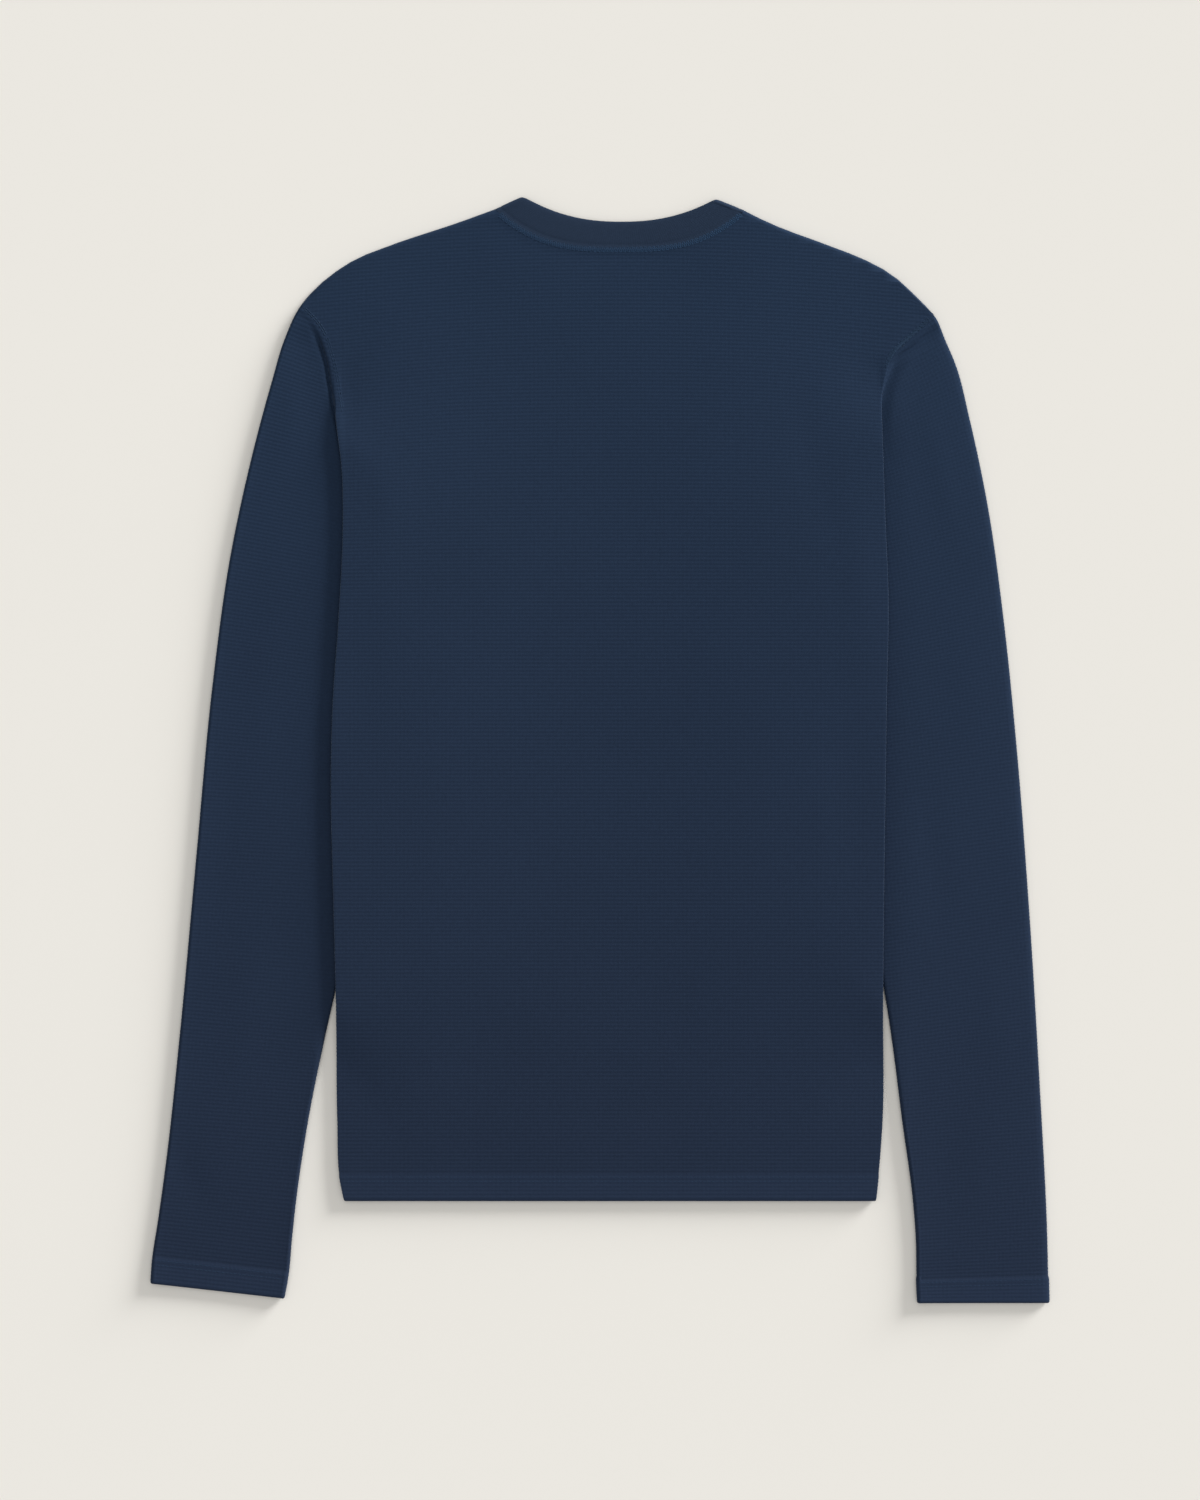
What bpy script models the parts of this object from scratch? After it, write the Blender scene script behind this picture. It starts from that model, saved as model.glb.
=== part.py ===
"""Long-sleeved thermal top in ribbed knit, laid flat on its front with the sleeves at its sides.

Five cut-and-sewn pieces, each one closed wall of cloth: back, front, two sleeves and a neckband.
The back is uppermost. Its sides are rolled under, over the sleeves, and its shoulders and the
neckband are rolled over to the front, which lies on the ground plane, z = 0.
+Y runs from the hem to the neck, and the origin is under the middle of the whole garment.

Sizes and tables are in millimetres, and MM turns a finished point into metres. "Out" is the
distance from the plane x = 0 towards either side, and "up" is y.
"""
import math

import bpy
import numpy as np

MM = 0.001
LEFT = -1
RIGHT = 1

# Cloth walls
KNIT = 1.5                # one layer of knit
HEM_WALL = 2.4            # turned hem at the bottom of the body
CUFF_WALL = 2.2           # turned hem at a wrist
BAND_WALL = 2.0           # neckband, folded double
BAND_FOLD_WALL = 1.5      # neckband at its folded free edge
SEAM_GAP = 0.3            # between pieces that are sewn together

# Heights of the layers
STACK = 5.15              # front and back where they roll into each other
HEM_RISE = 0.2            # extra height of the turned hem
SLEEVE_PRESSED = 3.5      # sleeve that lies under the body
BODY_LIFT = 3.8           # body's sides over the pressed sleeves
LIFT_REACH = 200.0        # over which the back rises towards a raised side
FRONT_CLEAR = 42.0        # front stays raised this far past the sleeve's edge
FRONT_SLOPE = 36.0        # and comes down to the ground over this distance
SLEEVE_MIDDLE = 4.6       # free sleeve away from its edges
SLEEVE_LOFT = 1.0         # extra height of its rolled edges
LOFT_REACH = 12.0         # over this distance from the edge
CUFF_RISE = 0.5           # extra height of the turned cuff
NECK_SAG = 1.2            # back neck sinks where no front lies under it
NECK_SAG_HALF = (55.0, 45.0)      # half its width and height

# Body, up
HEM_UP = -315.0
HEM_DEPTH = 18.0
HEM_STEP = 1.0            # over which the turned hem's thickness begins
UNDERARM_UP = 100.0       # sleeve's hidden underarm
TUCK_UP = 205.0           # armhole seam goes under the body's side here
SEAM_LEVEL_UP = 250.0     # from here up body and sleeve are level at the seam
ROLL_UP = (208.0, 250.0)  # body's side roll runs out between these
LIFT_UP = (208.0, 262.0)  # body's side comes down to the seam's level between these
SLEEVE_OUT_UP = -172.0    # sleeve's inner edge comes out from under the body here
BODY_DOWN_UP = -225.0     # from here down the body's sides lie on the ground

# Rolled sides
UNDER_FLAT = 5.0          # cloth that goes on, flat, under the body after the roll
ROLL_ROWS_BELOW = 246.0   # body rows below this have the roll
SEAM_INSET = 0.24         # body's inset where the side is a seam and not a roll
LEVEL_SHARE = 0.05        # of the roll, under which the side counts as a seam
GAP_FADE = 3.0            # the gap under the body closes over this much rolled cloth

# Body's side, from the hem up to the armhole seam and along it to the shoulder point
BODY_SIDE = {             # up, out
    LEFT: ((-315.0, 178.9), (-300.0, 182.0), (-259.4, 183.8), (-175.4, 184.5), (-91.4, 186.6),
           (-28.0, 188.0), (34.7, 186.6), (90.7, 182.7), (160.7, 179.6), (205.0, 178.6),
           (225.0, 179.8), (246.0, 182.0), (274.0, 187.4), (296.5, 196.4), (310.6, 209.5)),
    RIGHT: ((-315.0, 193.0), (-300.0, 194.6), (-259.4, 197.7), (-175.4, 197.8), (-91.4, 198.5),
            (-28.0, 199.4), (34.7, 200.3), (108.0, 201.5), (160.7, 199.4), (205.0, 197.9),
            (225.0, 197.3), (246.0, 197.2), (262.0, 199.3), (275.0, 204.0), (288.0, 218.0),
            (302.8, 234.5)),
}

# Outer edge of the whole garment, from the neck over the shoulder point and down the sleeve
OUTER_EDGE = {            # out, up
    LEFT: ((72.3, 378.7), (97.8, 369.4), (148.0, 352.5), (172.1, 342.7), (189.1, 331.5),
           (201.6, 320.3), (209.5, 310.6), (220.9, 286.7), (229.3, 258.7), (244.2, 202.7),
           (259.1, 132.7), (270.7, 48.7), (282.7, -77.4), (294.4, -203.4), (303.5, -287.4),
           (309.3, -329.4), (313.5, -357.4), (314.6, -373.0)),
    RIGHT: ((100.5, 377.5), (116.6, 369.5), (160.5, 352.7), (185.3, 342.9), (205.3, 331.7),
            (217.8, 320.5), (229.1, 309.2), (234.5, 302.8), (241.6, 286.7), (248.7, 269.9),
            (258.8, 230.7), (270.6, 174.7), (282.5, 90.7), (291.1, 6.7), (300.8, -119.4),
            (308.3, -245.4), (312.6, -329.4), (314.0, -386.7)),
}
SHOULDER_POINT_ROW = {LEFT: 6, RIGHT: 7}

# Hidden part of the armhole, from where it goes under the body to the underarm
ARMHOLE_UNDER = {         # up, out
    LEFT: ((205.0, 179.0), (170.0, 174.0), (135.0, 160.0), (112.0, 142.0), (100.0, 118.0)),
    RIGHT: ((205.0, 198.3), (170.0, 194.0), (135.0, 180.0), (112.0, 162.0), (100.0, 138.0)),
}

# Sleeve's inner edge, from the underarm to the cuff; the rows above -170 lie under the body
INNER_EDGE = {            # up, out
    LEFT: ((100.0, 118.0), (20.0, 139.0), (-60.0, 161.0), (-120.0, 175.5), (-175.4, 186.6),
           (-203.4, 192.8), (-259.4, 204.0), (-315.4, 212.4), (-343.4, 215.4), (-367.2, 217.6),
           (-383.6, 220.5)),
    RIGHT: ((100.0, 138.0), (20.0, 157.0), (-60.0, 176.0), (-120.0, 189.0), (-175.4, 199.9),
            (-203.4, 204.1), (-259.4, 211.2), (-315.4, 218.7), (-343.4, 220.8), (-367.2, 221.2),
            (-386.7, 222.2)),
}
CUFF_DEPTH = 18.0
CUFF_FLARE = {LEFT: 0.0, RIGHT: 0.6}      # how far the turned cuff stands out at its sides

# How a sleeve's height changes beside the body's side, out from it
LEVEL_OUT = (2.0, 26.0)   # from the seam's height to the sleeve's own
PRESSED_OUT = (9.0, 32.0)     # from pressed under the body to free

# Crease that runs down the sleeve beside the armhole seam
CREASE_BEGINS = (288.0, 304.0)    # up, from the top down
CREASE_ENDS = (185.0, 235.0)
CREASE = {                # depth, half width, distance from the seam
    LEFT: (1.6, 4.5, 5.8),
    RIGHT: (0.8, 6.0, 6.0),
}

# Neck, with the halves of each curve measured from its middle
NECK_MIDDLE = 14.2        # x of the neck's middle
SEAM_HALF = 85.6          # half the width of the back neck seam
SEAM_DROP = 26.0
SEAM_TOP_UP = 376.4
SEAM_POWER = 3.0
BAND_MIDDLE = 15.0        # x of the middle of the band's free edge
FREE_HALF = 62.5
FREE_DROP = 14.1
FREE_TOP_UP = 383.5
FREE_POWER = 2.3
BAND_TIP = {LEFT: (54.5, 387.0), RIGHT: (81.0, 385.4)}        # out, up
FRONT_NECK_MIDDLE = 14.5
FRONT_NECK_HALF = 79.2    # front neck seam, a rounded scoop
FRONT_NECK_UP = 364.0
FRONT_NECK_DROP = 94.0
BAND_WIDTH = 19.0
FRONT_FREE_UP = 366.0     # band's free edge at the front starts from here
SCOOP_ROUNDNESS = 0.9     # 1 is an ellipse, less is squarer

# Fineness of the faces
NECK_CELLS = 16
SHOULDER_CELLS = 7
SCOOP_CELLS = 12
ROLL_CELLS = 4
BAND_CELLS = 3
BODY_ROWS = np.linspace(-270.0, 180.0, 13)              # up, between the hem and the armhole
ARMHOLE_ROWS = np.array((205.0, 216.0, 227.0, 238.0, 250.0, 262.0, 276.0, 290.0))
SIDE_SHARE = 0.3          # share of a body row that follows the shape of its side
STRAIGHT_LEVELS = (0.25, 0.8)     # body's columns turn from even to hanging from the neck
SLEEVE_NEAR_SHARES = (0.0, 0.008, 0.018, 0.035, 0.06)   # sleeve's rows by the armhole
SLEEVE_SHARES = np.linspace(0.1, 0.93, 17)              # and along the rest of its length
CUFF_STEP_SHARE = 0.0008  # half the step over which the turned cuff's thickness begins
INNER_EVEN_SHARE = 0.9    # past this the rows cross the sleeve at even shares of both edges
SMOOTH_ANGLE = math.radians(50)
MIRROR = (-1, 1)          # turns (out, up) on the left into (x, up)

NAVY = (0.0185, 0.0307, 0.0578, 1.0)
NAVY_BAND = (0.0212, 0.0343, 0.0630, 1.0)


# ---------------------------------------------------------------- curves and tables

def ramp(value, start, end):
    """0 before start, 1 past end, and a soft S between them."""
    share = np.clip((np.asarray(value, float) - start) / (end - start), 0.0, 1.0)
    return share * share * (3.0 - 2.0 * share)


def bump(value, middle, half_width):
    """1 at the middle, falling softly to both sides."""
    return np.exp(-((value - middle) / half_width) ** 2)


def smooth(knots, values, at):
    """Read a smooth curve through the rows (knots, values) at other knots."""
    knots = np.asarray(knots, float)
    values = np.asarray(values, float)
    at = np.asarray(at, float)
    slopes = np.gradient(values, knots)
    row = np.clip(np.searchsorted(knots, at) - 1, 0, len(knots) - 2)
    span = knots[row + 1] - knots[row]
    s = np.clip((at - knots[row]) / span, 0.0, 1.0)
    return ((1 + 2 * s) * (1 - s) ** 2 * values[row]
            + s * (1 - s) ** 2 * span * slopes[row]
            + s * s * (3 - 2 * s) * values[row + 1]
            + s * s * (s - 1) * span * slopes[row + 1])


def read(table, up):
    """Out at a height, from a table of (up, out) in either order."""
    rows = sorted(table)
    return smooth([row[0] for row in rows], [row[1] for row in rows], up)


class Line:
    """Smooth line through points, read by the distance along it."""

    def __init__(self, points):
        self.points = np.asarray(points, float)
        steps = np.linalg.norm(np.diff(self.points, axis=0), axis=1)
        self.marks = np.concatenate(([0.0], np.cumsum(steps)))
        self.length = self.marks[-1]

    def at(self, distance):
        columns = [smooth(self.marks, self.points[:, k], distance) for k in range(2)]
        return np.stack(columns, axis=-1)

    def outward(self, distance):
        """Unit vector to the left of the line's own direction."""
        reach = 2.0
        way = (self.at(np.minimum(distance + reach, self.length))
               - self.at(np.maximum(distance - reach, 0.0)))
        way /= np.linalg.norm(way, axis=-1, keepdims=True)
        return np.stack((-way[..., 1], way[..., 0]), axis=-1)


def unit(vector):
    vector = np.asarray(vector, float)
    return vector / np.linalg.norm(vector)


def length_shares(points):
    """How far along a line each of its points is, from 0 to 1."""
    steps = np.linalg.norm(np.diff(points, axis=0), axis=1)
    return np.concatenate(([0.0], np.cumsum(steps))) / steps.sum()


def blend_edges(first_side, last_side, start, end):
    """Fill a four-sided patch between two sides (rows) and its start and end (columns)."""
    u = length_shares(end)[None, :, None]
    v = length_shares(first_side)[:, None, None]
    across = (1 - u) * first_side[:, None, :] + u * last_side[:, None, :]
    along = (1 - v) * start[None, :, :] + v * end[None, :, :]
    corners = ((1 - u) * (1 - v) * start[0] + u * (1 - v) * start[-1]
               + (1 - u) * v * end[0] + u * v * end[-1])
    return across + along - corners


# ---------------------------------------------------------------- sheets of cloth

class Sheet:
    """Middle surface of one piece of cloth, with the wall's thickness at each point."""

    def __init__(self):
        self.points = []
        self.walls = []
        self.faces = []

    def add(self, grid, walls):
        """Add a grid of points, and return their numbers in the same layout."""
        grid = np.asarray(grid, float)
        walls = np.broadcast_to(walls, grid.shape[:2])
        first = len(self.points)
        self.points.extend(grid.reshape(-1, 3))
        self.walls.extend(walls.reshape(-1))
        return np.arange(first, len(self.points)).reshape(grid.shape[:2])

    def lay(self, numbers):
        """Lay a face between each four neighbours in a layout of point numbers."""
        for near, far in zip(numbers[:-1], numbers[1:]):
            for k in range(len(near) - 1):
                self.faces.append((int(near[k]), int(near[k + 1]), int(far[k + 1]), int(far[k])))

    def make(self, name, colour):
        """Thicken the sheet by half its wall to both sides and close it round the border."""
        points = np.array(self.points)
        middle = bpy.data.meshes.new(name + "_middle")
        middle.from_pydata(points.tolist(), [], self.faces)
        normals = np.array([normal.vector for normal in middle.vertex_normals])
        bpy.data.meshes.remove(middle)
        half = normals * np.array(self.walls)[:, None] / 2
        count = len(points)
        edges = {(face[k], face[(k + 1) % 4]) for face in self.faces for k in range(4)}
        border = sorted(edge for edge in edges if (edge[1], edge[0]) not in edges)
        faces = list(self.faces)
        faces += [tuple(count + corner for corner in reversed(face)) for face in self.faces]
        faces += [(b, a, count + a, count + b) for a, b in border]
        solid = np.concatenate((points + half, points - half)) * MM
        mesh = bpy.data.meshes.new(name)
        mesh.from_pydata(solid.tolist(), [], faces)
        mesh.shade_smooth()
        mesh.set_sharp_from_angle(angle=SMOOTH_ANGLE)
        mesh.materials.append(cloth_material(name, colour))
        piece = bpy.data.objects.new(name, mesh)
        bpy.context.scene.collection.objects.link(piece)
        return piece


def cloth_material(name, colour):
    material = bpy.data.materials.new(name + "_knit")
    material.use_nodes = True
    shader = material.node_tree.nodes["Principled BSDF"]
    shader.inputs["Base Color"].default_value = colour
    shader.inputs["Roughness"].default_value = 0.9
    shader.inputs["Metallic"].default_value = 0.0
    return material


def place(side, flat, heights):
    """Points in (x, y, z) from (out, up) on one side and heights."""
    flat = np.asarray(flat, float)
    heights = np.broadcast_to(heights, flat.shape[:-1])
    return np.stack((side * flat[..., 0], flat[..., 1], heights), axis=-1)


def roll_steps():
    """Share of a half turn, and of the flat stretch after it, at each step of a roll."""
    turned = [(share, 0.0) for share in np.linspace(0, 1, ROLL_CELLS + 1)[1:]]
    return turned + [(1.0, 1.0)]


# ---------------------------------------------------------------- heights

def body_side(side, up):
    return read(BODY_SIDE[side], up)


def side_lift(up):
    """How far the sleeves raise the body's sides, as a share of BODY_LIFT."""
    return (1 - ramp(up, *LIFT_UP)) * ramp(up, BODY_DOWN_UP, SLEEVE_OUT_UP)


def sleeve_reach(side, up):
    """How far the sleeve reaches in under the body's side."""
    under_armhole = body_side(side, up) - read(ARMHOLE_UNDER[side], up)
    under_sleeve = body_side(side, up) - read(INNER_EDGE[side], up)
    return np.maximum(0.0, np.where(np.asarray(up) > UNDERARM_UP, under_armhole, under_sleeve))


def body_wall(up):
    return np.where(np.asarray(up) < HEM_UP + HEM_DEPTH, HEM_WALL, KNIT)


def hem_rise(up):
    return np.where(np.asarray(up) < HEM_UP + HEM_DEPTH, HEM_RISE, 0.0)


def back_top(x, up):
    """Upper surface of the back: low in the middle, raised at its sides by the sleeves."""
    height = STACK + hem_rise(up)
    for side in (LEFT, RIGHT):
        inside = np.clip((body_side(side, up) - side * x) / LIFT_REACH, 0.0, 1.0)
        height = height + BODY_LIFT * side_lift(up) * (0.5 + 0.5 * np.cos(np.pi * inside))
    half_width, half_height = NECK_SAG_HALF
    sag = bump(x, NECK_MIDDLE, half_width) * bump(up, FREE_TOP_UP - FREE_DROP, half_height)
    return height - NECK_SAG * sag


def front_bottom(x, up):
    """Lower surface of the front: on the ground, raised where the sleeves lie under it."""
    height = 0.0
    for side in (LEFT, RIGHT):
        past = body_side(side, up) - side * x - sleeve_reach(side, up)
        near = 1 - ramp(past, FRONT_CLEAR, FRONT_CLEAR + FRONT_SLOPE)
        height = height + BODY_LIFT * side_lift(up) * near
    return height


def sleeve_top(side, out, up):
    """Upper surface of a sleeve."""
    outer_rows = [(row[1], row[0]) for row in OUTER_EDGE[side][SHOULDER_POINT_ROW[side]:]]
    from_outer = np.maximum(0.0, read(outer_rows, up) - out)
    from_inner = np.maximum(0.0, out - read(INNER_EDGE[side], np.minimum(up, UNDERARM_UP)))
    loft = np.exp(-from_outer / LOFT_REACH) + np.exp(-from_inner / LOFT_REACH)
    height = SLEEVE_MIDDLE + SLEEVE_LOFT * np.minimum(loft, 1.0)
    outside = out - body_side(side, up)
    by_armhole = ramp(up, TUCK_UP, SEAM_LEVEL_UP)
    height = height + (STACK - height) * by_armhole * (1 - ramp(outside, *LEVEL_OUT))
    depth, half_width, offset = CREASE[side]
    along_seam = ramp(up, *CREASE_ENDS) * (1 - ramp(up, *CREASE_BEGINS))
    height = height - depth * along_seam * bump(outside, offset, half_width)
    pressed = (1 - by_armhole) * (1 - ramp(outside, *PRESSED_OUT))
    return height + (SLEEVE_PRESSED - height) * pressed


# ---------------------------------------------------------------- body panels

def side_roll(side, up):
    """Cloth beyond the start of the side's roll, the roll's radius, and the side's inset."""
    radius = (STACK + hem_rise(up) - body_wall(up)) / 2
    share = 1 - ramp(up, *ROLL_UP)
    beyond = share * (math.pi * radius + UNDER_FLAT)
    quarter = np.minimum(beyond / radius, math.pi / 2)
    inset = (radius + body_wall(up) / 2) * np.sin(quarter)
    at_seam = np.where(share < LEVEL_SHARE, SEAM_INSET, 0.0)
    return beyond, radius, inset + at_seam


def shoulder_line(side):
    line = Line(OUTER_EDGE[side])
    return line, line.marks[SHOULDER_POINT_ROW[side]]


def neck_seam(share):
    """Back neck seam in (x, up), from -1 at the left shoulder to 1 at the right."""
    share = np.asarray(share, float)
    x = NECK_MIDDLE + SEAM_HALF * share
    return np.stack((x, SEAM_TOP_UP - SEAM_DROP * (1 - abs(share) ** SEAM_POWER)), axis=-1)


def scoop(share, half, drop, top):
    """Front neck in (x, up), from 0 at the left shoulder to 1 at the right."""
    turn = math.pi * np.asarray(share, float)
    cos = np.sign(np.cos(turn)) * np.abs(np.cos(turn)) ** SCOOP_ROUNDNESS
    sin = np.abs(np.sin(turn)) ** SCOOP_ROUNDNESS
    return np.stack((FRONT_NECK_MIDDLE - half * cos, top - drop * sin), axis=-1)


def row_heights(shoulder_up):
    """Where a body panel's rows meet its side, from the hem to the shoulder point."""
    top_of_hem = HEM_UP + HEM_DEPTH
    hem = (HEM_UP, top_of_hem - HEM_STEP / 2, top_of_hem + HEM_STEP / 2)
    return np.concatenate((hem, BODY_ROWS, ARMHOLE_ROWS, (shoulder_up,)))


def fill_rows(sides, top):
    """Rows of a body panel: straight at the hem and shaped like the top border at the top.

    The columns are even at the hem and hang straight down from the neck's points at the top.
    """
    (left_up, left_x), (right_up, right_x) = sides
    width = top[-1, 0] - top[0, 0]
    top_share = (top[:, 0] - top[0, 0]) / width
    even_share = np.linspace(0, 1, len(top))
    left_level = ((left_up - HEM_UP) / (left_up[-1] - HEM_UP))[:, None]
    right_level = ((right_up - HEM_UP) / (right_up[-1] - HEM_UP))[:, None]
    level = left_level + (right_level - left_level) * top_share
    share = even_share + (top_share - even_share) * ramp(level, *STRAIGHT_LEVELS)
    near_left = 1 - ramp(share, 0.0, SIDE_SHARE)
    near_right = ramp(share, 1 - SIDE_SHARE, 1.0)
    x = (top[0, 0] + width * share + (left_x[:, None] - top[0, 0]) * near_left
         + (right_x[:, None] - top[-1, 0]) * near_right)
    return np.dstack((x, HEM_UP + (top[:, 1] - HEM_UP) * level))


def make_back():
    sheet = Sheet()
    shoulders = {}
    for side in (LEFT, RIGHT):
        line, shoulder_mark = shoulder_line(side)
        marks = np.linspace(shoulder_mark - SEAM_GAP, SEAM_GAP, SHOULDER_CELLS + 1)
        outward = line.outward(marks)
        shoulders[side] = (line.at(marks) - outward * STACK / 2, outward)
    neck = neck_seam(np.linspace(-1, 1, NECK_CELLS + 1)[1:-1])
    neck[:, 1] -= SEAM_GAP / 2
    left_top = shoulders[LEFT][0] * MIRROR
    right_top = shoulders[RIGHT][0][::-1]
    top = np.concatenate((left_top, neck, right_top))
    sides = []
    rolls = {}
    for side, corner in ((LEFT, top[0]), (RIGHT, top[-1])):
        up = row_heights(corner[1])
        beyond, radius, inset = side_roll(side, up)
        out = body_side(side, up) - inset
        out[-1] = side * corner[0]
        sides.append((up, side * out))
        rolls[side] = (up, out, beyond, radius)
    flat = fill_rows(sides, top)
    walls = body_wall(flat[..., 1])
    height = back_top(flat[..., 0], flat[..., 1]) - walls / 2
    main = sheet.add(np.dstack((flat, height)), walls)
    sheet.lay(main)
    for side, column in ((LEFT, 0), (RIGHT, -1)):
        add_side_roll(sheet, side, main[:, column], rolls[side])
        add_shoulder_roll(sheet, side, main, shoulders[side])
    return sheet.make("back", NAVY)


def add_side_roll(sheet, side, border, roll):
    """Roll the back's side down and in under the body, as far as the armhole seam."""
    up, out, beyond, radius = roll
    rows = up < ROLL_ROWS_BELOW
    tops = np.array([sheet.points[number][2] for number in border])
    wall = np.array(sheet.walls)[border[rows]]
    strips = [border[rows]]
    for turned, gone_under in roll_steps():
        turn = turned * np.minimum(beyond / radius, math.pi)
        under = gone_under * np.maximum(0.0, beyond - math.pi * radius)
        new_out = out + radius * np.sin(turn) - under
        new_z = tops - radius * (1 - np.cos(turn))
        points = place(side, np.stack((new_out, up), axis=-1), new_z)[rows]
        strips.append(sheet.add(points[:, None, :], wall[:, None])[:, 0])
    layout = np.stack(strips, axis=1)
    sheet.lay(layout if side == RIGHT else layout[:, ::-1])


def add_shoulder_roll(sheet, side, main, shoulder):
    """Roll the back's shoulder over to the front."""
    tangent, outward = shoulder
    radius = (STACK - KNIT) / 2
    border = main[-1, :len(tangent)] if side == LEFT else main[-1, -len(tangent):]
    order = slice(None) if side == LEFT else slice(None, None, -1)
    strips = [border]
    for turned, gone_under in roll_steps():
        turn = math.pi * turned
        outside = radius * math.sin(turn) - UNDER_FLAT * gone_under
        flat = tangent + outward * outside
        points = place(side, flat, KNIT / 2 + radius * (1 + math.cos(turn)))[order]
        strips.append(sheet.add(points[None, :, :], KNIT)[0])
    sheet.lay(np.array(strips))


def make_front():
    sheet = Sheet()
    tops = {}
    for side in (LEFT, RIGHT):
        line, shoulder_mark = shoulder_line(side)
        marks = np.linspace(shoulder_mark - SEAM_GAP, SEAM_GAP, SHOULDER_CELLS + 1)
        inset = STACK / 2 + UNDER_FLAT + SEAM_GAP
        tops[side] = line.at(marks) - line.outward(marks) * inset
    neck = scoop(np.linspace(0, 1, SCOOP_CELLS + 1), FRONT_NECK_HALF + SEAM_GAP,
                 FRONT_NECK_DROP + SEAM_GAP, FRONT_NECK_UP)
    top = np.concatenate((tops[LEFT] * MIRROR, neck, tops[RIGHT][::-1]))
    sides = []
    for side, corner in ((LEFT, top[0]), (RIGHT, top[-1])):
        up = row_heights(corner[1])
        beyond, radius, inset = side_roll(side, up)
        under = np.maximum(0.0, beyond - math.pi * radius)
        gap = SEAM_GAP * ramp(beyond, 0.0, GAP_FADE)
        out = body_side(side, up) - inset - under - gap
        out[-1] = side * corner[0]
        sides.append((up, side * out))
    flat = fill_rows(sides, top)
    walls = body_wall(flat[..., 1])
    height = front_bottom(flat[..., 0], flat[..., 1]) + walls / 2
    main = sheet.add(np.dstack((flat, height)), walls)
    sheet.lay(main)
    return sheet.make("front", NAVY)


# ---------------------------------------------------------------- sleeves

def make_sleeve(name, side):
    sheet = Sheet()
    line, shoulder_mark = shoulder_line(side)
    inner_rows = sorted(INNER_EDGE[side], reverse=True)
    inner = Line([(out, up) for up, out in inner_rows])
    outer_length = line.length - shoulder_mark

    # Rows, as shares of the sleeve's length, closer at the armhole and the cuff.
    cuff_share = 1 - CUFF_DEPTH / outer_length
    cuff_rows = (cuff_share - CUFF_STEP_SHARE, cuff_share + CUFF_STEP_SHARE, 1.0)
    shares = np.concatenate((SLEEVE_NEAR_SHARES, SLEEVE_SHARES, cuff_rows))
    outer_marks = shoulder_mark + SEAM_GAP + (outer_length - SEAM_GAP) * shares
    inner_marks = inner.length * np.where(shares > INNER_EVEN_SHARE, shares,
                                          shares ** (2 - shares))
    on_cuff = shares > cuff_share
    walls = np.where(on_cuff, CUFF_WALL, KNIT)
    rise = np.where(on_cuff, CUFF_RISE, 0.0)
    flare = np.where(on_cuff, CUFF_FLARE[side], 0.0)

    outer_edge = line.at(outer_marks)
    outward = line.outward(outer_marks)
    inner_edge = inner.at(inner_marks)
    inward = -inner.outward(inner_marks)
    outer_height = sleeve_top(side, outer_edge[:, 0], outer_edge[:, 1]) + rise
    inner_height = sleeve_top(side, inner_edge[:, 0], inner_edge[:, 1]) + rise
    outer_start = outer_edge + outward * (flare - outer_height / 2)[:, None]
    inner_start = inner_edge + inward * (flare - inner_height / 2)[:, None]

    # Armhole: along the body's seam, then hidden down to the underarm.
    hidden = [row[0] for row in ARMHOLE_UNDER[side][1:-1]]
    ups = np.concatenate((ARMHOLE_ROWS[::-1], hidden))
    seam = np.where(ups >= TUCK_UP, body_side(side, ups) + SEAM_GAP,
                    read(ARMHOLE_UNDER[side], ups))
    armhole = np.concatenate((outer_start[:1], np.stack((seam, ups), axis=-1), inner_start[:1]))
    across = np.linspace(0, 1, len(armhole))[:, None]
    cuff_line = outer_start[-1] * (1 - across) + inner_start[-1] * across

    flat = blend_edges(outer_start, inner_start, armhole, cuff_line)
    top = sleeve_top(side, flat[..., 0], flat[..., 1]) + rise[:, None]
    top[:, 0] = outer_height
    top[:, -1] = inner_height
    upper = place(side, flat, top - walls[:, None] / 2)
    lower = place(side, flat, walls[:, None] / 2)[:, ::-1]
    rings = [sheet.add(upper, walls[:, None])]
    rings.append(add_fold(sheet, side, inner_start, inward, inner_height, walls, 1))
    rings.append(sheet.add(lower, walls[:, None]))
    rings.append(add_fold(sheet, side, outer_start, outward, outer_height, walls, -1))
    rings.append(rings[0][:, :1])
    layout = np.concatenate(rings, axis=1)
    sheet.lay(layout if side == LEFT else layout[:, ::-1])
    return sheet.make(name, NAVY)


def add_fold(sheet, side, start, way, height, walls, direction):
    """Points round a folded edge, between the upper and lower layers."""
    radius = (height - walls) / 2
    columns = []
    for share in np.linspace(0, 1, ROLL_CELLS + 1)[1:-1][::direction]:
        turn = math.pi * share
        flat = start + way * (radius * math.sin(turn))[:, None]
        columns.append(place(side, flat, walls / 2 + radius * (1 + math.cos(turn))))
    return sheet.add(np.stack(columns, axis=1), walls[:, None])


# ---------------------------------------------------------------- neckband

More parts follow.
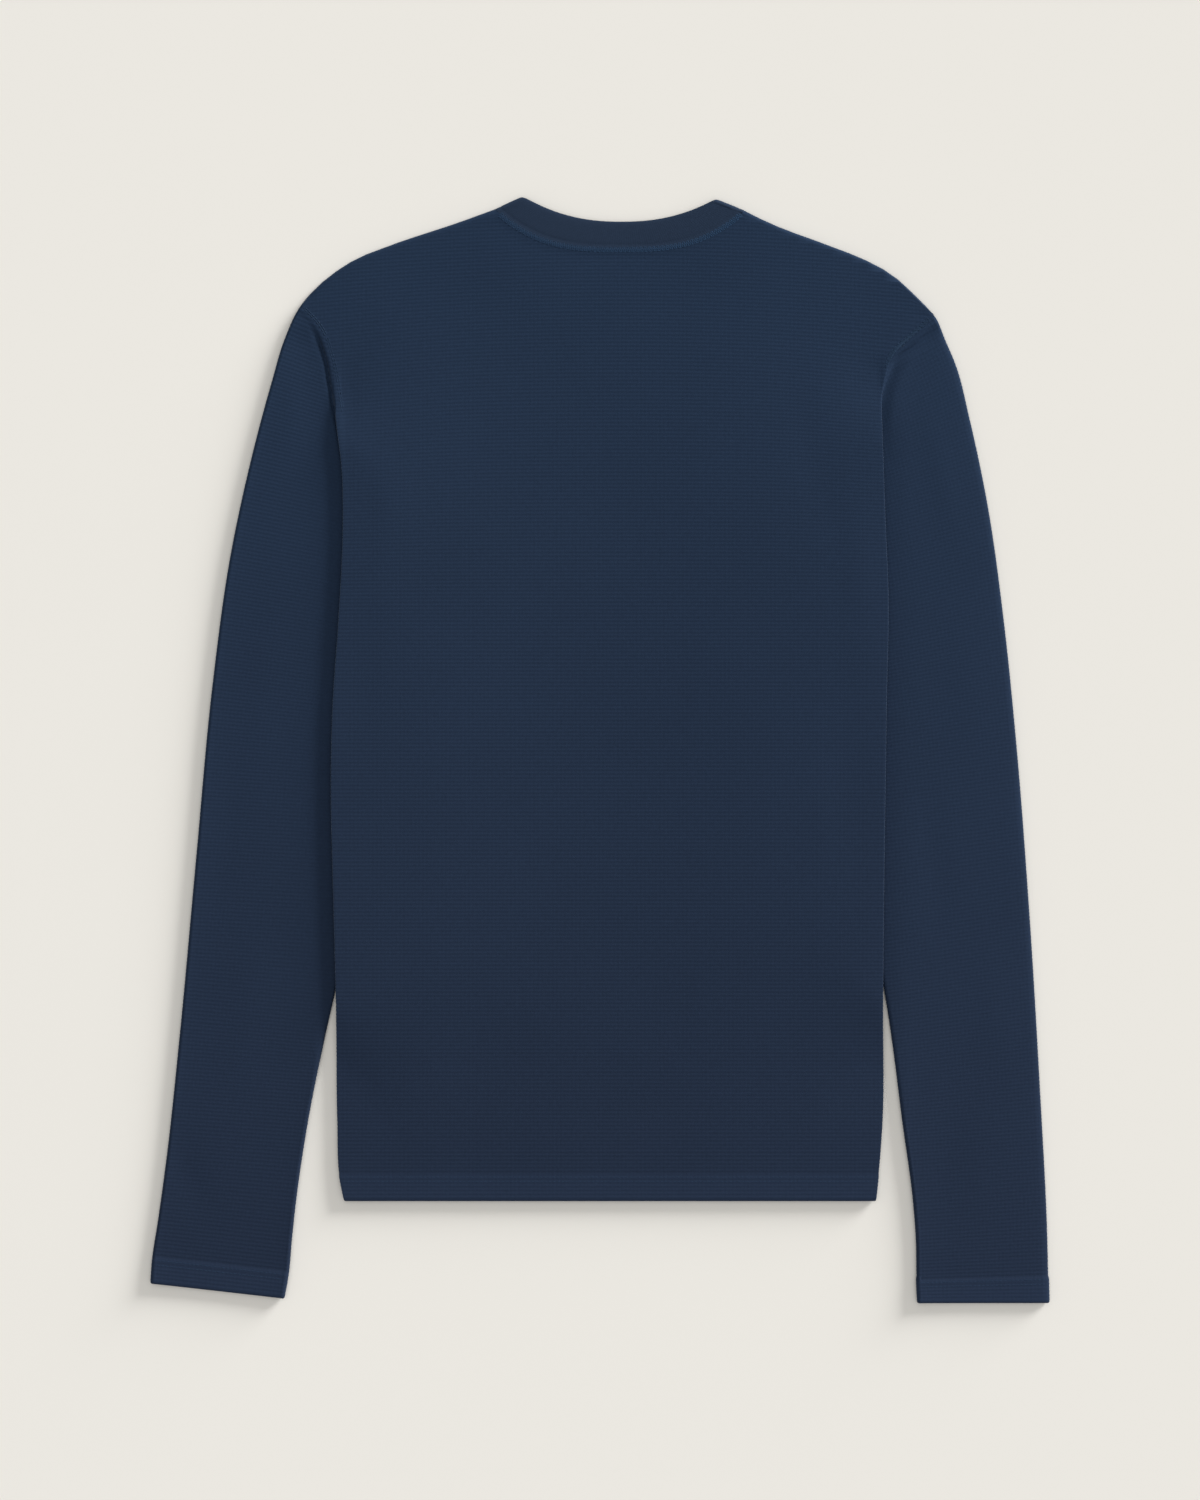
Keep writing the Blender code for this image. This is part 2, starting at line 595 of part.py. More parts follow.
def make_neckband():
    sheet = Sheet()
    radius = (STACK - BAND_WALL) / 2
    stations = []

    folds = {}
    for side in (LEFT, RIGHT):
        neck_point = np.array(OUTER_EDGE[side][0])
        tip = np.array(BAND_TIP[side])
        along = unit(tip - neck_point)
        outward = np.array((along[1], -along[0]))
        if outward[1] < 0:
            outward = -outward
        start = neck_point + along * SEAM_GAP / 2 - outward * STACK / 2
        end = tip - outward * STACK / 2
        folds[side] = (start, end, outward)

    def fold_stations(side, shares):
        start, end, outward = folds[side]
        for share in shares:
            turn = math.pi * share
            move = outward * radius * math.sin(turn)
            height = BAND_WALL / 2 + radius * (1 + math.cos(turn))
            stations.append((place(side, start + move, height), place(side, end + move, height)))

    def back_stations(shares):
        for share in shares:
            seam = neck_seam(share) + (0, SEAM_GAP / 2)
            free = np.array((BAND_MIDDLE + FREE_HALF * share,
                             FREE_TOP_UP - FREE_DROP * (1 - abs(share) ** FREE_POWER)))
            seam_z = back_top(seam[0], seam[1]) - BAND_WALL / 2
            free_z = back_top(free[0], free[1]) - BAND_WALL / 2
            stations.append((place(1, seam, seam_z), place(1, free, free_z)))

    def front_stations(shares):
        seams = scoop(shares, FRONT_NECK_HALF, FRONT_NECK_DROP, FRONT_NECK_UP)
        frees = scoop(shares, FRONT_NECK_HALF - BAND_WIDTH, FRONT_NECK_DROP - BAND_WIDTH,
                      FRONT_FREE_UP)
        for seam, free in zip(seams, frees):
            stations.append((place(1, seam, BAND_WALL / 2), place(1, free, BAND_WALL / 2)))

    rolled = np.linspace(0, 1, 2 * ROLL_CELLS + 1)
    fold_stations(LEFT, rolled[::-1])
    back_stations(np.linspace(-1, 1, NECK_CELLS + 1)[1:-1])
    fold_stations(RIGHT, rolled)
    front_stations(np.linspace(1, 0, SCOOP_CELLS + 1))
    across = np.linspace(0, 1, BAND_CELLS + 1)[None, :, None]
    seams = np.array([station[0] for station in stations])[:, None, :]
    frees = np.array([station[1] for station in stations])[:, None, :]
    walls = np.array((BAND_WALL, BAND_WALL, BAND_WALL, BAND_FOLD_WALL))
    layout = sheet.add(seams * (1 - across) + frees * across, walls)
    sheet.lay(np.concatenate((layout, layout[:1]))[:, ::-1])
    return sheet.make("neckband", NAVY_BAND)


def main():
    for old in list(bpy.data.objects):
        bpy.data.objects.remove(old, do_unlink=True)
    make_back()
    make_front()
    make_sleeve("sleeve_left", LEFT)
    make_sleeve("sleeve_right", RIGHT)
    make_neckband()


main()
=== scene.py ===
import math

import bpy
import numpy as np
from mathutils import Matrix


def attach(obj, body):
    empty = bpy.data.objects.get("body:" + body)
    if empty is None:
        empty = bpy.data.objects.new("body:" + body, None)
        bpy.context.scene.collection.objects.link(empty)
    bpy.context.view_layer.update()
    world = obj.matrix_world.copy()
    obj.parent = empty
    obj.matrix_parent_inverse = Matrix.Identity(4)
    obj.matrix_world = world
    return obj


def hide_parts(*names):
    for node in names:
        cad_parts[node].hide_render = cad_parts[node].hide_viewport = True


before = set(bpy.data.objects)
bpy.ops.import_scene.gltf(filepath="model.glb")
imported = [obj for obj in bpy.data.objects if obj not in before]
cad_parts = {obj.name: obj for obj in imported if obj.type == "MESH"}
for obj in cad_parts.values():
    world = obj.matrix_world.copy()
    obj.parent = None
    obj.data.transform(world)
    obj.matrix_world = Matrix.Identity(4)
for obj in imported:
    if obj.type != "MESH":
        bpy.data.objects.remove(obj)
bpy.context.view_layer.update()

MM = 0.001
LEFT = -1
RIGHT = 1
SIDES = (LEFT, RIGHT)
SIDE_NAME = {LEFT: "left", RIGHT: "right"}

# Cloth walls and heights of the layers, as in the CAD but for the seam gap and the left lift
KNIT = 1.5
HEM_WALL = 2.4
CUFF_WALL = 2.2
BAND_WALL = 2.0
SEAM_GAP = 0.04
SEAM_LAP = 0.12           # by which the shoulder fold runs into the sleeve's
STACK = 5.15
HEM_RISE = 0.2
CUFF_RISE = 0.5
SLEEVE_PRESSED = 3.5
SEAM_CLEAR = 0.3          # between a pressed sleeve and the body on it
BODY_LIFT = {LEFT: 5.0, RIGHT: 3.8}
LIFT_REACH = 200.0
LIFT_SPREAD = 70.0        # by which the ends of the body's lift grow longer away from its side
LIFT_SPREAD_REACH = 60.0
FRONT_CLEAR = 42.0
FRONT_SLOPE = 36.0
SLEEVE_MIDDLE = 4.6
INNER_LOFT = (1.0, 12.0)  # height of the sleeve's inner edge over its middle, and reach
OUTER_LOFT = {LEFT: (1.0, 12.0), RIGHT: (-0.6, 4.0)}
NECK_SAG = 1.2
NECK_SAG_HALF = (55.0, 45.0)

HEM_UP = -315.0
TURNING = 18.0            # depth of the turned hem and cuffs
TURNING_STEP = 0.9        # half of the stretch over which they end
UNDERARM_UP = 100.0
TUCK_UP = 205.0
SLEEVE_UNDER = 3.0        # by which the sleeve's border lies under the body where it begins to
SLEEVE_UNDER_UP = (225.0, 252.0)
SEAM_LEVEL_UP = 250.0
ROLL_UP = {LEFT: (212.0, 256.0), RIGHT: (216.0, 262.0)}
LIFT_UP = (208.0, 262.0)
SLEEVE_OUT_UP = -172.0
BODY_DOWN_UP = -225.0
UNDER_FLAT = 5.0
LEVEL_OUT = (2.0, 26.0)
PRESSED_OUT = {LEFT: (2.0, 16.0), RIGHT: (-8.0, 18.0)}
SPARE_OUT = (-14.0, -2.0)

BODY_SIDE = {             # up, out
    LEFT: ((-315, 178.9), (-300, 182), (-259.4, 183.8), (-175.4, 184.5), (-91.4, 186.6),
           (-28, 188), (34.7, 186.6), (90.7, 182.7), (160.7, 179.6), (188, 180),
           (204, 181.2), (220, 183.4), (236, 185.2), (256, 186), (274, 187.4),
           (296.5, 196.4), (310.6, 209.5)),
    RIGHT: ((-315, 193), (-300, 194.6), (-259.4, 197.7), (-175.4, 197.8), (-91.4, 198.5),
            (-28, 199.4), (34.7, 200.3), (108, 201.5), (160.7, 199.4), (205, 197.9),
            (225, 197.3), (246, 197.2), (262, 199.3), (275, 204), (288, 218),
            (302.8, 234.5)),
}
OUTER_EDGE = {            # out, up
    LEFT: ((72.3, 378.7), (97.8, 369.4), (148, 352.5), (172.1, 342.7), (189.1, 331.5),
           (201.6, 320.3), (209.5, 310.6), (220.9, 286.7), (229.3, 258.7), (244.2, 202.7),
           (259.1, 132.7), (270.7, 48.7), (282.7, -77.4), (294.4, -203.4), (303.5, -287.4),
           (309.3, -329.4), (313.5, -357.4), (314.6, -373)),
    RIGHT: ((100.5, 377.5), (116.6, 369.5), (160.5, 352.7), (185.3, 342.9), (205.3, 331.7),
            (217.8, 320.5), (229.1, 309.2), (234.5, 302.8), (241.6, 286.7), (248.7, 269.9),
            (258.8, 230.7), (270.6, 174.7), (282.5, 90.7), (291.1, 6.7), (300.8, -119.4),
            (308.3, -245.4), (312.6, -329.4), (314, -386.7)),
}
SHOULDER_POINT_ROW = {LEFT: 6, RIGHT: 7}
SEAM_LINE = {             # up, out, where the armhole seam shows
    LEFT: ((225, 178.6), (246, 182)) + BODY_SIDE[LEFT][-3:],
    RIGHT: BODY_SIDE[RIGHT],
}
ARMHOLE_UNDER = {         # up, out
    LEFT: ((205, 178.3), (170, 174), (135, 160), (112, 142), (100, 118)),
    RIGHT: ((205, 195.3), (170, 192), (135, 180), (112, 162), (100, 138)),
}
INNER_EDGE = {            # up, out
    LEFT: ((100, 118), (20, 139), (-60, 161), (-120, 175.5), (-175.4, 186.6),
           (-203.4, 192.8), (-259.4, 204), (-315.4, 212.4), (-343.4, 215.4), (-367.2, 217.6),
           (-383.6, 220.5)),
    RIGHT: ((100, 138), (20, 157), (-60, 176), (-120, 189), (-175.4, 199.9),
            (-203.4, 204.1), (-259.4, 211.2), (-315.4, 218.7), (-343.4, 220.8), (-367.2, 221.2),
            (-386.7, 222.2)),
}
CUFF_FLARE = {LEFT: 0.0, RIGHT: 0.6}
CREASE_BEGINS = {LEFT: (281.0, 299.0), RIGHT: (288.0, 304.0)}
CREASE_ENDS = (185.0, 235.0)
CREASE_LINE = {           # up, distance from the body's side
    LEFT: ((225, -1), (236, 0.4), (251, 2.3), (267, 4.1), (283, 5), (298, 4),
           (310, 2.2)),
    RIGHT: ((185, -1), (235, -1), (250, 1), (265, 3.5), (280, 5), (304, 5)),
}
CREASE = {                # depth, falls and rises between, depth of its core and half widths
    LEFT: (0.9, (-1.4, 0.6), (4.0, 34.0), 1.2, (1.0, 1.8)),
    RIGHT: (1.5, (-3.2, 0.0), (0.6, 9.0), 0.0, (1.0, 1.0)),
}

NECK_MIDDLE = 14.2
SEAM_HALF = 85.6
SEAM_DROP = 26.0
SEAM_TOP_UP = 376.4
SEAM_POWER = 3.0
BAND_MIDDLE = 15.0
FREE_HALF = 62.5
FREE_DROP = 14.1
FREE_TOP_UP = 383.5
FREE_POWER = 2.3
BAND_TIP = {LEFT: (54.5, 387.0), RIGHT: (81.0, 385.4)}        # out, up
FRONT_NECK_MIDDLE = 14.5
FRONT_NECK_HALF = 79.2
FRONT_NECK_UP = 364.0
FRONT_NECK_DROP = 94.0
BAND_WIDTH = 19.0
FRONT_FREE_UP = 366.0
SCOOP_ROUNDNESS = 0.9
TIP_SLANT = 2.0           # by which the band's free edge runs on past its tip as it turns over

# Knit
COURSE = 2.67             # from rib to rib
ROWS_PER_COURSE = 4
RIB_DEPTH = 0.14
RIB_LEVEL = 0.7           # share of the ribs' height at which they end at a seam
RIB_ENDS = (0.5, 3.0)     # distances from the seam between which they do
INNER_EVERY = 16          # the wrong side of the cloth has one row in this many
SHARP_ANGLE = 55.0        # degrees between faces past which an edge is drawn sharp
EDGE_TURN = 0.35          # cloth turned down at an armhole seam
ROLL_SQUASH = 0.15        # width of the body's rolled sides to a round roll's
ROLL_WALL = 0.6           # share of the cloth's thickness in those rolled sides
FOLD_SQUASH = 0.75        # width of the sleeves' folded edges to a round fold's
FOLD_ARC = 6.0            # cloth in such a fold
HEM_ROUND = 1.4           # over which the fold of a hem is rounded
HEM_EDGE = 0.3            # share of the cloth's thickness at its very edge
RIB_SLOPE = {             # up at the sleeve's outer edge, rise of its ribs towards +x
    LEFT: ((-373, -0.113), (-329, -0.105), (-280, -0.07), (-231, -0.07),
           (-175, -0.087), (-119, -0.052), (-63, -0.052), (-7, -0.07), (49, -0.123),
           (105, -0.158), (161, -0.194), (203, -0.231), (245, -0.287), (280, -0.36),
           (312, -0.4)),
    RIGHT: ((-386.7, 0), (-360, 0.04), (-329, 0.07), (-280, 0.07), (-231, 0.105),
            (-175, 0.14), (-119, 0.155), (-63, 0.14), (-7, 0.14), (49, 0.176),
            (105, 0.231), (161, 0.268), (203, 0.325), (245, 0.424), (273, 0.5),
            (305, 0.55)),
}
RIB_DROOP = 9.0           # how far the body's ribs sink towards the shoulders
RIB_DROOP_UP = (60.0, 330.0)
RIB_DROOP_REACH = 200.0

# Soft creases and hollows: x (out on a sleeve), up, half width, half length, slant, height
FOLD_STRENGTH = 1.2
BACK_FOLDS = (
    (-178, 248, 2.6, 34, -0.03, -0.5),
    (-166, 45, 16, 46, 0.05, -0.5),
    (-150, 150, 14, 60, 0.12, 0.3),
    (176, -38, 15, 58, -0.04, -0.5),
    (182, 118, 10, 52, -0.06, 0.35),
    (150, 196, 11, 44, -0.2, -0.3),
    (48, -252, 44, 26, 0.3, -0.45),
    (-84, -212, 40, 30, -0.5, -0.35),
    (-18, 118, 60, 40, 0.2, 0.3),
    (96, 44, 38, 70, -0.15, 0.25),
    (58, 318, 34, 22, 0.4, -0.3),
    (-96, 318, 30, 24, -0.4, -0.25),
)
SLEEVE_FOLDS = {
    LEFT: ((232, 60, 13, 60, -0.12, 0.3), (262, -60, 9, 46, -0.1, -0.3),
           (246, -180, 12, 50, -0.1, 0.3), (288, -300, 12, 24, 0.3, -0.45),
           (222, 210, 10, 40, -0.25, 0.25)),
    RIGHT: ((258, 40, 12, 56, -0.1, 0.3), (232, -70, 9, 50, -0.12, -0.35),
            (276, -190, 12, 46, -0.08, 0.3), (244, -290, 14, 36, 0.1, -0.35),
            (240, 190, 9, 40, -0.2, 0.3)),
}
FOLDS_OUT = (-14.0, 0.0)      # from the body's side, between which the sleeve's begin
FOLDS_IN = (2.0, 12.0)        # and from its outer edge

# Soft ridge of the allowance under a seam, with two rows of stitches on it. Distances count
# from the seam into the body.
RIDGE = {                 # height, rises between, falls between
    "neck": (0.2, (-1.8, 1.0), (3.0, 6.0)),
    LEFT: (0.24, (-4.2, -1.6), (-1.2, 2.2)),
    RIGHT: (0.5, (-1.0, 2.0), (3.4, 8.0)),
}
GROOVE = (0.04, 0.9)      # depth right at the seam, and reach
BAND_GROOVE = (-2.8, 0.7, 0.14)       # pulled line on the neckband: distance, half width, depth
SEAM_TUCKS = {LEFT: (236.0, 252.0), RIGHT: (248.0, 280.0)}    # up, armhole goes under between
TUCKED = {LEFT: 0.0, RIGHT: 6.0}      # how far under
SEAM_FADES = {LEFT: (236.0, 252.0), RIGHT: (242.0, 248.0)}
NECK_NEEDLES = (-1.0, 2.2)    # rows of stitches, from the seam
ARMHOLE_NEEDLES = {LEFT: (0.3, 1.7), RIGHT: (0.5, 3.0)}
HEM_NEEDLES = (13.6, 16.6)    # and from the hem's edge
STITCH_PITCH = 3.0
STITCH_LENGTH = 2.6
FIRST_STITCH = 0.15       # share of the pitch before a row's first stitch
STITCH_RADIUS = 0.19
LEFT_STITCH_RADIUS = 0.15
LEFT_BOLD_UP = 289.0      # above which the left armhole's stitches lie flat and show more
LEFT_BOLD_RADIUS = 0.25
FINE_STITCH_RADIUS = 0.12
NECK_COVER = 0.7          # from leg to leg of the cover thread between two rows
ARMHOLE_COVER = 0.75
COVER_RADIUS = 0.19
STITCH_DENT = (0.1, 0.7)  # depth and half width of the cuff's lines under its stitches
THREAD_SUNK = 0.08        # of the hem's and the cuffs' stitches
THREAD_UNDER = 0.05       # height of the stitches on the underside
NECK_ROW_END = 0.985      # share of half the neck seam that its rows of stitches reach
HEM_ROW_MARGIN = 4.0
HEM_MIDDLE = 7.0          # of the rows underneath the hem, and half their length
UNDER_HEM_HALF = 170.0

# Rows and columns of the shells
ROLL_STEPS = [(share, 0.0) for share in (0.2, 0.4, 0.6, 0.8, 1.0)] + [(1.0, 1.0)]
LEAST_UNDER = 0.01        # share of the turned cloth that lies flat even where it hardly turns
SIDE_SHARE = 0.3          # of a panel's width, over which its columns follow its side
CORNER_REACH = 14.0       # over which that side is drawn to the shoulder's corner
CORNER_FINE = (0.9, 1.9, 3.0, 4.2, 5.5, 7.5, 10.5)
SHOULDER_CELLS = {LEFT: 12, RIGHT: 11}
TOP_REACH = 0.2           # a row this close under the top border ends on it
SEAM_FINE = (0.7, 1.4, 2.1, 2.8, 3.5, 4.2, 4.9, 5.6, 6.3, 7.0, 7.7, 8.6, 10.0, 12.5, 17.0)
EDGE_FINE = (3.4, 1.0)
FINE_LENGTH = 34.0        # width of a sleeve below which these columns are drawn together
BAND_COLUMNS = np.array((0.0, 0.03, 0.06, 0.095, 0.13, 0.165, 0.2, 0.25, 0.35, 0.5, 0.65, 0.8,
                         0.9, 0.955, 0.985, 1.0))
BAND_THINS = ((0.8, 0.9, 0.955, 0.985, 1.0), (1.0, 0.95, 0.8, 0.62, 0.4))     # share, wall
BAND_PUFF = 0.12
NECK_COLUMNS = 31
FRONT_NECK_COLUMNS = 33
FRONT_SHOULDER_COLUMNS = 17
SLEEVE_CELLS = 13
UNDERSIDE_COLUMNS = 15
FOLD_COLUMNS = 5
BAND_ROWS = 121
BAND_FOLD_ROWS = 17


# ---- Curves and tables

def ramp(value, start, end):
    """0 before start, 1 past end, and a soft S between them."""
    share = np.clip((np.asarray(value, float) - start) / (end - start), 0.0, 1.0)
    return share * share * (3.0 - 2.0 * share)

def bump(value, middle, half_width):
    """1 at the middle, falling softly to both sides."""
    return np.exp(-((value - middle) / half_width) ** 2)

def blend(low, high, share):
    return low + (high - low) * share

def smooth(knots, values, at):
    """Read a smooth curve through the rows (knots, values) at other knots."""
    knots = np.asarray(knots, float)
    values = np.asarray(values, float)
    at = np.asarray(at, float)
    slopes = np.gradient(values, knots)
    row = np.clip(np.searchsorted(knots, at) - 1, 0, len(knots) - 2)
    span = knots[row + 1] - knots[row]
    s = np.clip((at - knots[row]) / span, 0.0, 1.0)
    return ((1 + 2 * s) * (1 - s) ** 2 * values[row]
            + s * (1 - s) ** 2 * span * slopes[row]
            + s * s * (3 - 2 * s) * values[row + 1]
            + s * s * (s - 1) * span * slopes[row + 1])

def read(table, up):
    rows = sorted(table)
    return smooth([row[0] for row in rows], [row[1] for row in rows], up)

def lean(table, up):
    """How far out a line goes for each millimetre up."""
    step = 2.0
    return (read(table, up + step) - read(table, up - step)) / (2 * step)

def distances(path):
    return np.concatenate(([0.0], np.cumsum(np.linalg.norm(np.diff(path, axis=0), axis=1))))

class Line:
    """Smooth line through points (out, up), read by the distance along it."""

    def __init__(self, points):
        self.points = np.asarray(points, float)
        self.marks = distances(self.points)
        self.length = self.marks[-1]

    def at(self, distance):
        columns = [smooth(self.marks, self.points[:, k], distance) for k in range(2)]
        return np.stack(columns, axis=-1)

    def outward(self, distance):
        """Unit vector to the left of the line's own direction."""
        reach = 2.0
        way = (self.at(np.minimum(distance + reach, self.length))
               - self.at(np.maximum(distance - reach, 0.0)))
        way /= np.linalg.norm(way, axis=-1, keepdims=True)
        return np.stack((-way[..., 1], way[..., 0]), axis=-1)

def unit(vector):
    vector = np.asarray(vector, float)
    return vector / np.linalg.norm(vector)

def rib(level):
    """Height of the ribs over their grooves, as a share, at a distance along the knit."""
    return 0.5 + 0.5 * np.cos(2 * math.pi * np.asarray(level) / COURSE)

def levels_between(start, end):
    """Rows of a shell, close enough for the ribs."""
    return np.arange(start, end + COURSE, COURSE / ROWS_PER_COURSE)

def shares_to_ends(count, pull):
    """Shares between -1 and 1, the closer together at the ends the stronger the pull."""
    even = np.linspace(-1, 1, count)
    return blend(even, -np.cos(np.linspace(0, math.pi, count)), pull)[1:-1]


# ---- Shells of cloth

class Shell:
    """Middle surface of one piece of cloth, turned into a closed shell with relief outside."""

    def __init__(self):
        self.rows = []
        self.faces = []
        self.inner_faces = []
        self.count = 0

    def add(self, grid, walls, relief, u, v):
        """Add a grid of points, and return their numbers in the same layout."""
        shape = grid.shape[:2]
        numbers = self.count + np.arange(shape[0] * shape[1]).reshape(shape)
        self.count += numbers.size
        values = [np.broadcast_to(value, shape) for value in (walls, relief, u, v)]
        self.rows.append(np.dstack([grid] + values).reshape(numbers.size, -1))
        return numbers

    def lay(self, layout, every=INNER_EVERY, also=()):
        """Lay faces over a layout of numbers. Repeated numbers close faces to triangles.

        The wrong side has one row in so many, the last row, and those named besides.
        """
        self.faces += quads(layout)
        kept = sorted({*range(0, len(layout), every), len(layout) - 1, *also})
        self.inner_faces += quads(layout[kept])

    def make(self, name, material):
        rows = np.concatenate(self.rows)
        points, walls, relief, uvs = np.split(rows, (3, 4, 5), axis=1)
        normals = vertex_normals(points, self.faces)
        outer = points + normals * (walls / 2 + relief)
        inner = points - normals * walls / 2
        kept = sorted({corner for face in self.inner_faces for corner in face})
        inner_number = {number: self.count + k for k, number in enumerate(kept)}
        faces = list(self.faces)
        faces += [tuple(inner_number[c] for c in reversed(face)) for face in self.inner_faces]
        faces += close_border(self.faces, inner_number)
        solid = np.concatenate((outer, inner[kept])) * MM
        return mesh_piece(name, solid, faces, np.concatenate((uvs, uvs[kept])), material)

def quads(layout):
    faces = []
    for near, far in zip(layout[:-1].tolist(), layout[1:].tolist()):
        for a, b, c, d in zip(near[:-1], near[1:], far[1:], far[:-1]):
            face = (a, b) + (c,) * (c != b) + (d,) * (d != a)
            if len(face) > 2:
                faces.append(face)
    return faces

def vertex_normals(points, faces):
    corners = np.array([face if len(face) == 4 else face + face[-1:] for face in faces])
    across = points[corners[:, 2]] - points[corners[:, 0]]
    along = points[corners[:, 3]] - points[corners[:, 1]]
    face_normals = np.cross(across, along)
    normals = np.zeros_like(points)
    for k in range(4):
        for axis in range(3):
            normals[:, axis] += np.bincount(corners[:, k], face_normals[:, axis], len(points))
    lengths = np.linalg.norm(normals, axis=1, keepdims=True)
    return normals / np.maximum(lengths, 1e-9)

def close_border(faces, inner_number):
    """Faces between the border of the outer side and the coarser border of the inner side."""
    edges = set()
    for face in faces:
        edges.update(zip(face, face[1:] + face[:1]))
    following = {a: b for a, b in edges if (b, a) not in edges}
    closing = []
    for start in following:
        if start not in inner_number:
            continue
        path = [start, following[start]]
        while path[-1] not in inner_number:
            path.append(following[path[-1]])
        closing.append(tuple(reversed(path)) + (inner_number[path[0]], inner_number[path[-1]]))
    return closing

def add_object(name, data):
    new = bpy.data.objects.new(name, data)
    bpy.context.scene.collection.objects.link(new)
    return new

def mesh_piece(name, points, faces, uvs, material):
    """Object from points in metres, without points that no face uses."""
    used = sorted({corner for face in faces for corner in face})
    new_number = {number: k for k, number in enumerate(used)}
    mesh = bpy.data.meshes.new(name)
    mesh.from_pydata(points[used].tolist(), [], [tuple(new_number[c] for c in f) for f in faces])
    mesh.shade_smooth()
    mesh.set_sharp_from_angle(angle=math.radians(SHARP_ANGLE))
    if uvs is not None:
        corner = np.empty(len(mesh.loops), dtype=np.int32)
        mesh.loops.foreach_get("vertex_index", corner)
        layer = mesh.uv_layers.new(name="knit")
        layer.data.foreach_set("uv", (uvs[used][corner] * MM).astype(np.float32).reshape(-1))
    mesh.materials.append(material)
    piece = add_object(name, mesh)
    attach(piece, "root")
    return piece

def place(side, flat, heights):
    """Points in space from points (out, up) on one side; the right side's "out" is x."""
    flat = np.asarray(flat, float)
    heights = np.broadcast_to(heights, flat.shape[:-1])
    return np.stack((side * flat[..., 0], flat[..., 1], heights), axis=-1)


# ---- Heights

def body_side(side, up):
    return read(BODY_SIDE[side], up)

def side_lift(up, spread=0.0):
    """Share of the body's lift over the sleeves; spread makes both its ends longer."""
    starts = ramp(up, BODY_DOWN_UP - spread, SLEEVE_OUT_UP + spread)
    return starts * (1 - ramp(up, LIFT_UP[0] - spread, LIFT_UP[1] + spread))

def on_turning(from_edge):
    """1 on a turned hem or cuff, 0 past it."""
    return 1 - ramp(from_edge, TURNING - TURNING_STEP, TURNING + TURNING_STEP)

def folded_edge(distance):
    """Share of the wall that is left near the rounded fold of a hem."""
    inside = np.clip(1 - np.asarray(distance) / HEM_ROUND, 0.0, 1.0)
    return blend(HEM_EDGE, 1.0, np.sqrt(1 - inside ** 2))

def body_stack(up):
    return STACK + HEM_RISE * on_turning(up - HEM_UP)

def full_wall(up):
    return blend(KNIT, HEM_WALL, on_turning(up - HEM_UP))

def body_wall(up):
    return full_wall(up) * folded_edge(up - HEM_UP)

def folds(table, x, up):
    height = 0.0
    for at_x, at_up, half_width, half_length, slant, rise in table:
        along = up - at_up
        across = bump(x - slant * along, at_x, half_width)
        height = height + FOLD_STRENGTH * rise * across * bump(along, 0.0, half_length)
    return height

def back_top(x, up):
    """Upper surface of the back without its ribs and creases."""
    height = body_stack(up)
    for side in SIDES:
        inside = body_side(side, up) - side * x
        spread = LIFT_SPREAD * ramp(inside, 0.0, LIFT_SPREAD_REACH)
        near = 0.5 + 0.5 * np.cos(np.pi * np.clip(inside / LIFT_REACH, 0.0, 1.0))
        height = height + BODY_LIFT[side] * side_lift(up, spread) * near
    half_width, half_height = NECK_SAG_HALF
    sag = bump(x, NECK_MIDDLE, half_width) * bump(up, FREE_TOP_UP - FREE_DROP, half_height)
    return height - NECK_SAG * sag

def back_surface(x, up):
    return back_top(x, up) + folds(BACK_FOLDS, x, up)

def sleeve_reach(side, up):
    under_armhole = body_side(side, up) - read(ARMHOLE_UNDER[side], up)
    under_sleeve = body_side(side, up) - read(INNER_EDGE[side], up)
    return np.maximum(0.0, np.where(np.asarray(up) > UNDERARM_UP, under_armhole, under_sleeve))

def front_bottom(x, up):
    height = 0.0
    for side in SIDES:
        past = body_side(side, up) - side * x - sleeve_reach(side, up)
        near = 1 - ramp(past, FRONT_CLEAR, FRONT_CLEAR + FRONT_SLOPE)
        height = height + BODY_LIFT[side] * side_lift(up) * near
    return height

def sleeve_edge_table(side):
    return [(row[1], row[0]) for row in OUTER_EDGE[side][SHOULDER_POINT_ROW[side]:]]

def sleeve_top(side, out, up):
    from_outer = np.maximum(0.0, read(sleeve_edge_table(side), up) - out)
    from_inner = np.maximum(0.0, out - read(INNER_EDGE[side], np.minimum(up, UNDERARM_UP)))
    height = SLEEVE_MIDDLE
    for distance, (loft, reach) in ((from_outer, OUTER_LOFT[side]), (from_inner, INNER_LOFT)):
        height = height + loft * np.exp(-distance / reach)
    outside = out - body_side(side, up)
    by_armhole = ramp(up, TUCK_UP, SEAM_LEVEL_UP)
    height = blend(height, STACK, by_armhole * (1 - ramp(outside, *LEVEL_OUT)))
    height = height - sum(crease(side, out, up))
    spare = (BODY_LIFT[side] - SEAM_CLEAR - SLEEVE_PRESSED) * (1 - ramp(outside, *SPARE_OUT))
    pressed = (1 - by_armhole) * (1 - ramp(outside, *PRESSED_OUT[side]))
    return blend(height, SLEEVE_PRESSED + spare, pressed)

def crease(side, out, up):
    """Depth of the crease outside the armhole seam: of the cloth, and of its sharp core."""
    outside = (out - body_side(side, up)) / np.hypot(1, lean(BODY_SIDE[side], up))
    past = outside - read(CREASE_LINE[side], up)
    depth, falls, rises, core, half_widths = CREASE[side]
    along = ramp(up, *CREASE_ENDS) * (1 - ramp(up, *CREASE_BEGINS[side]))
    trough = ramp(past, *falls) * (1 - ramp(past, *rises))
    half_width = np.where(past < 0.0, *half_widths)
    return depth * along * trough, core * along * bump(past, 0.0, half_width)

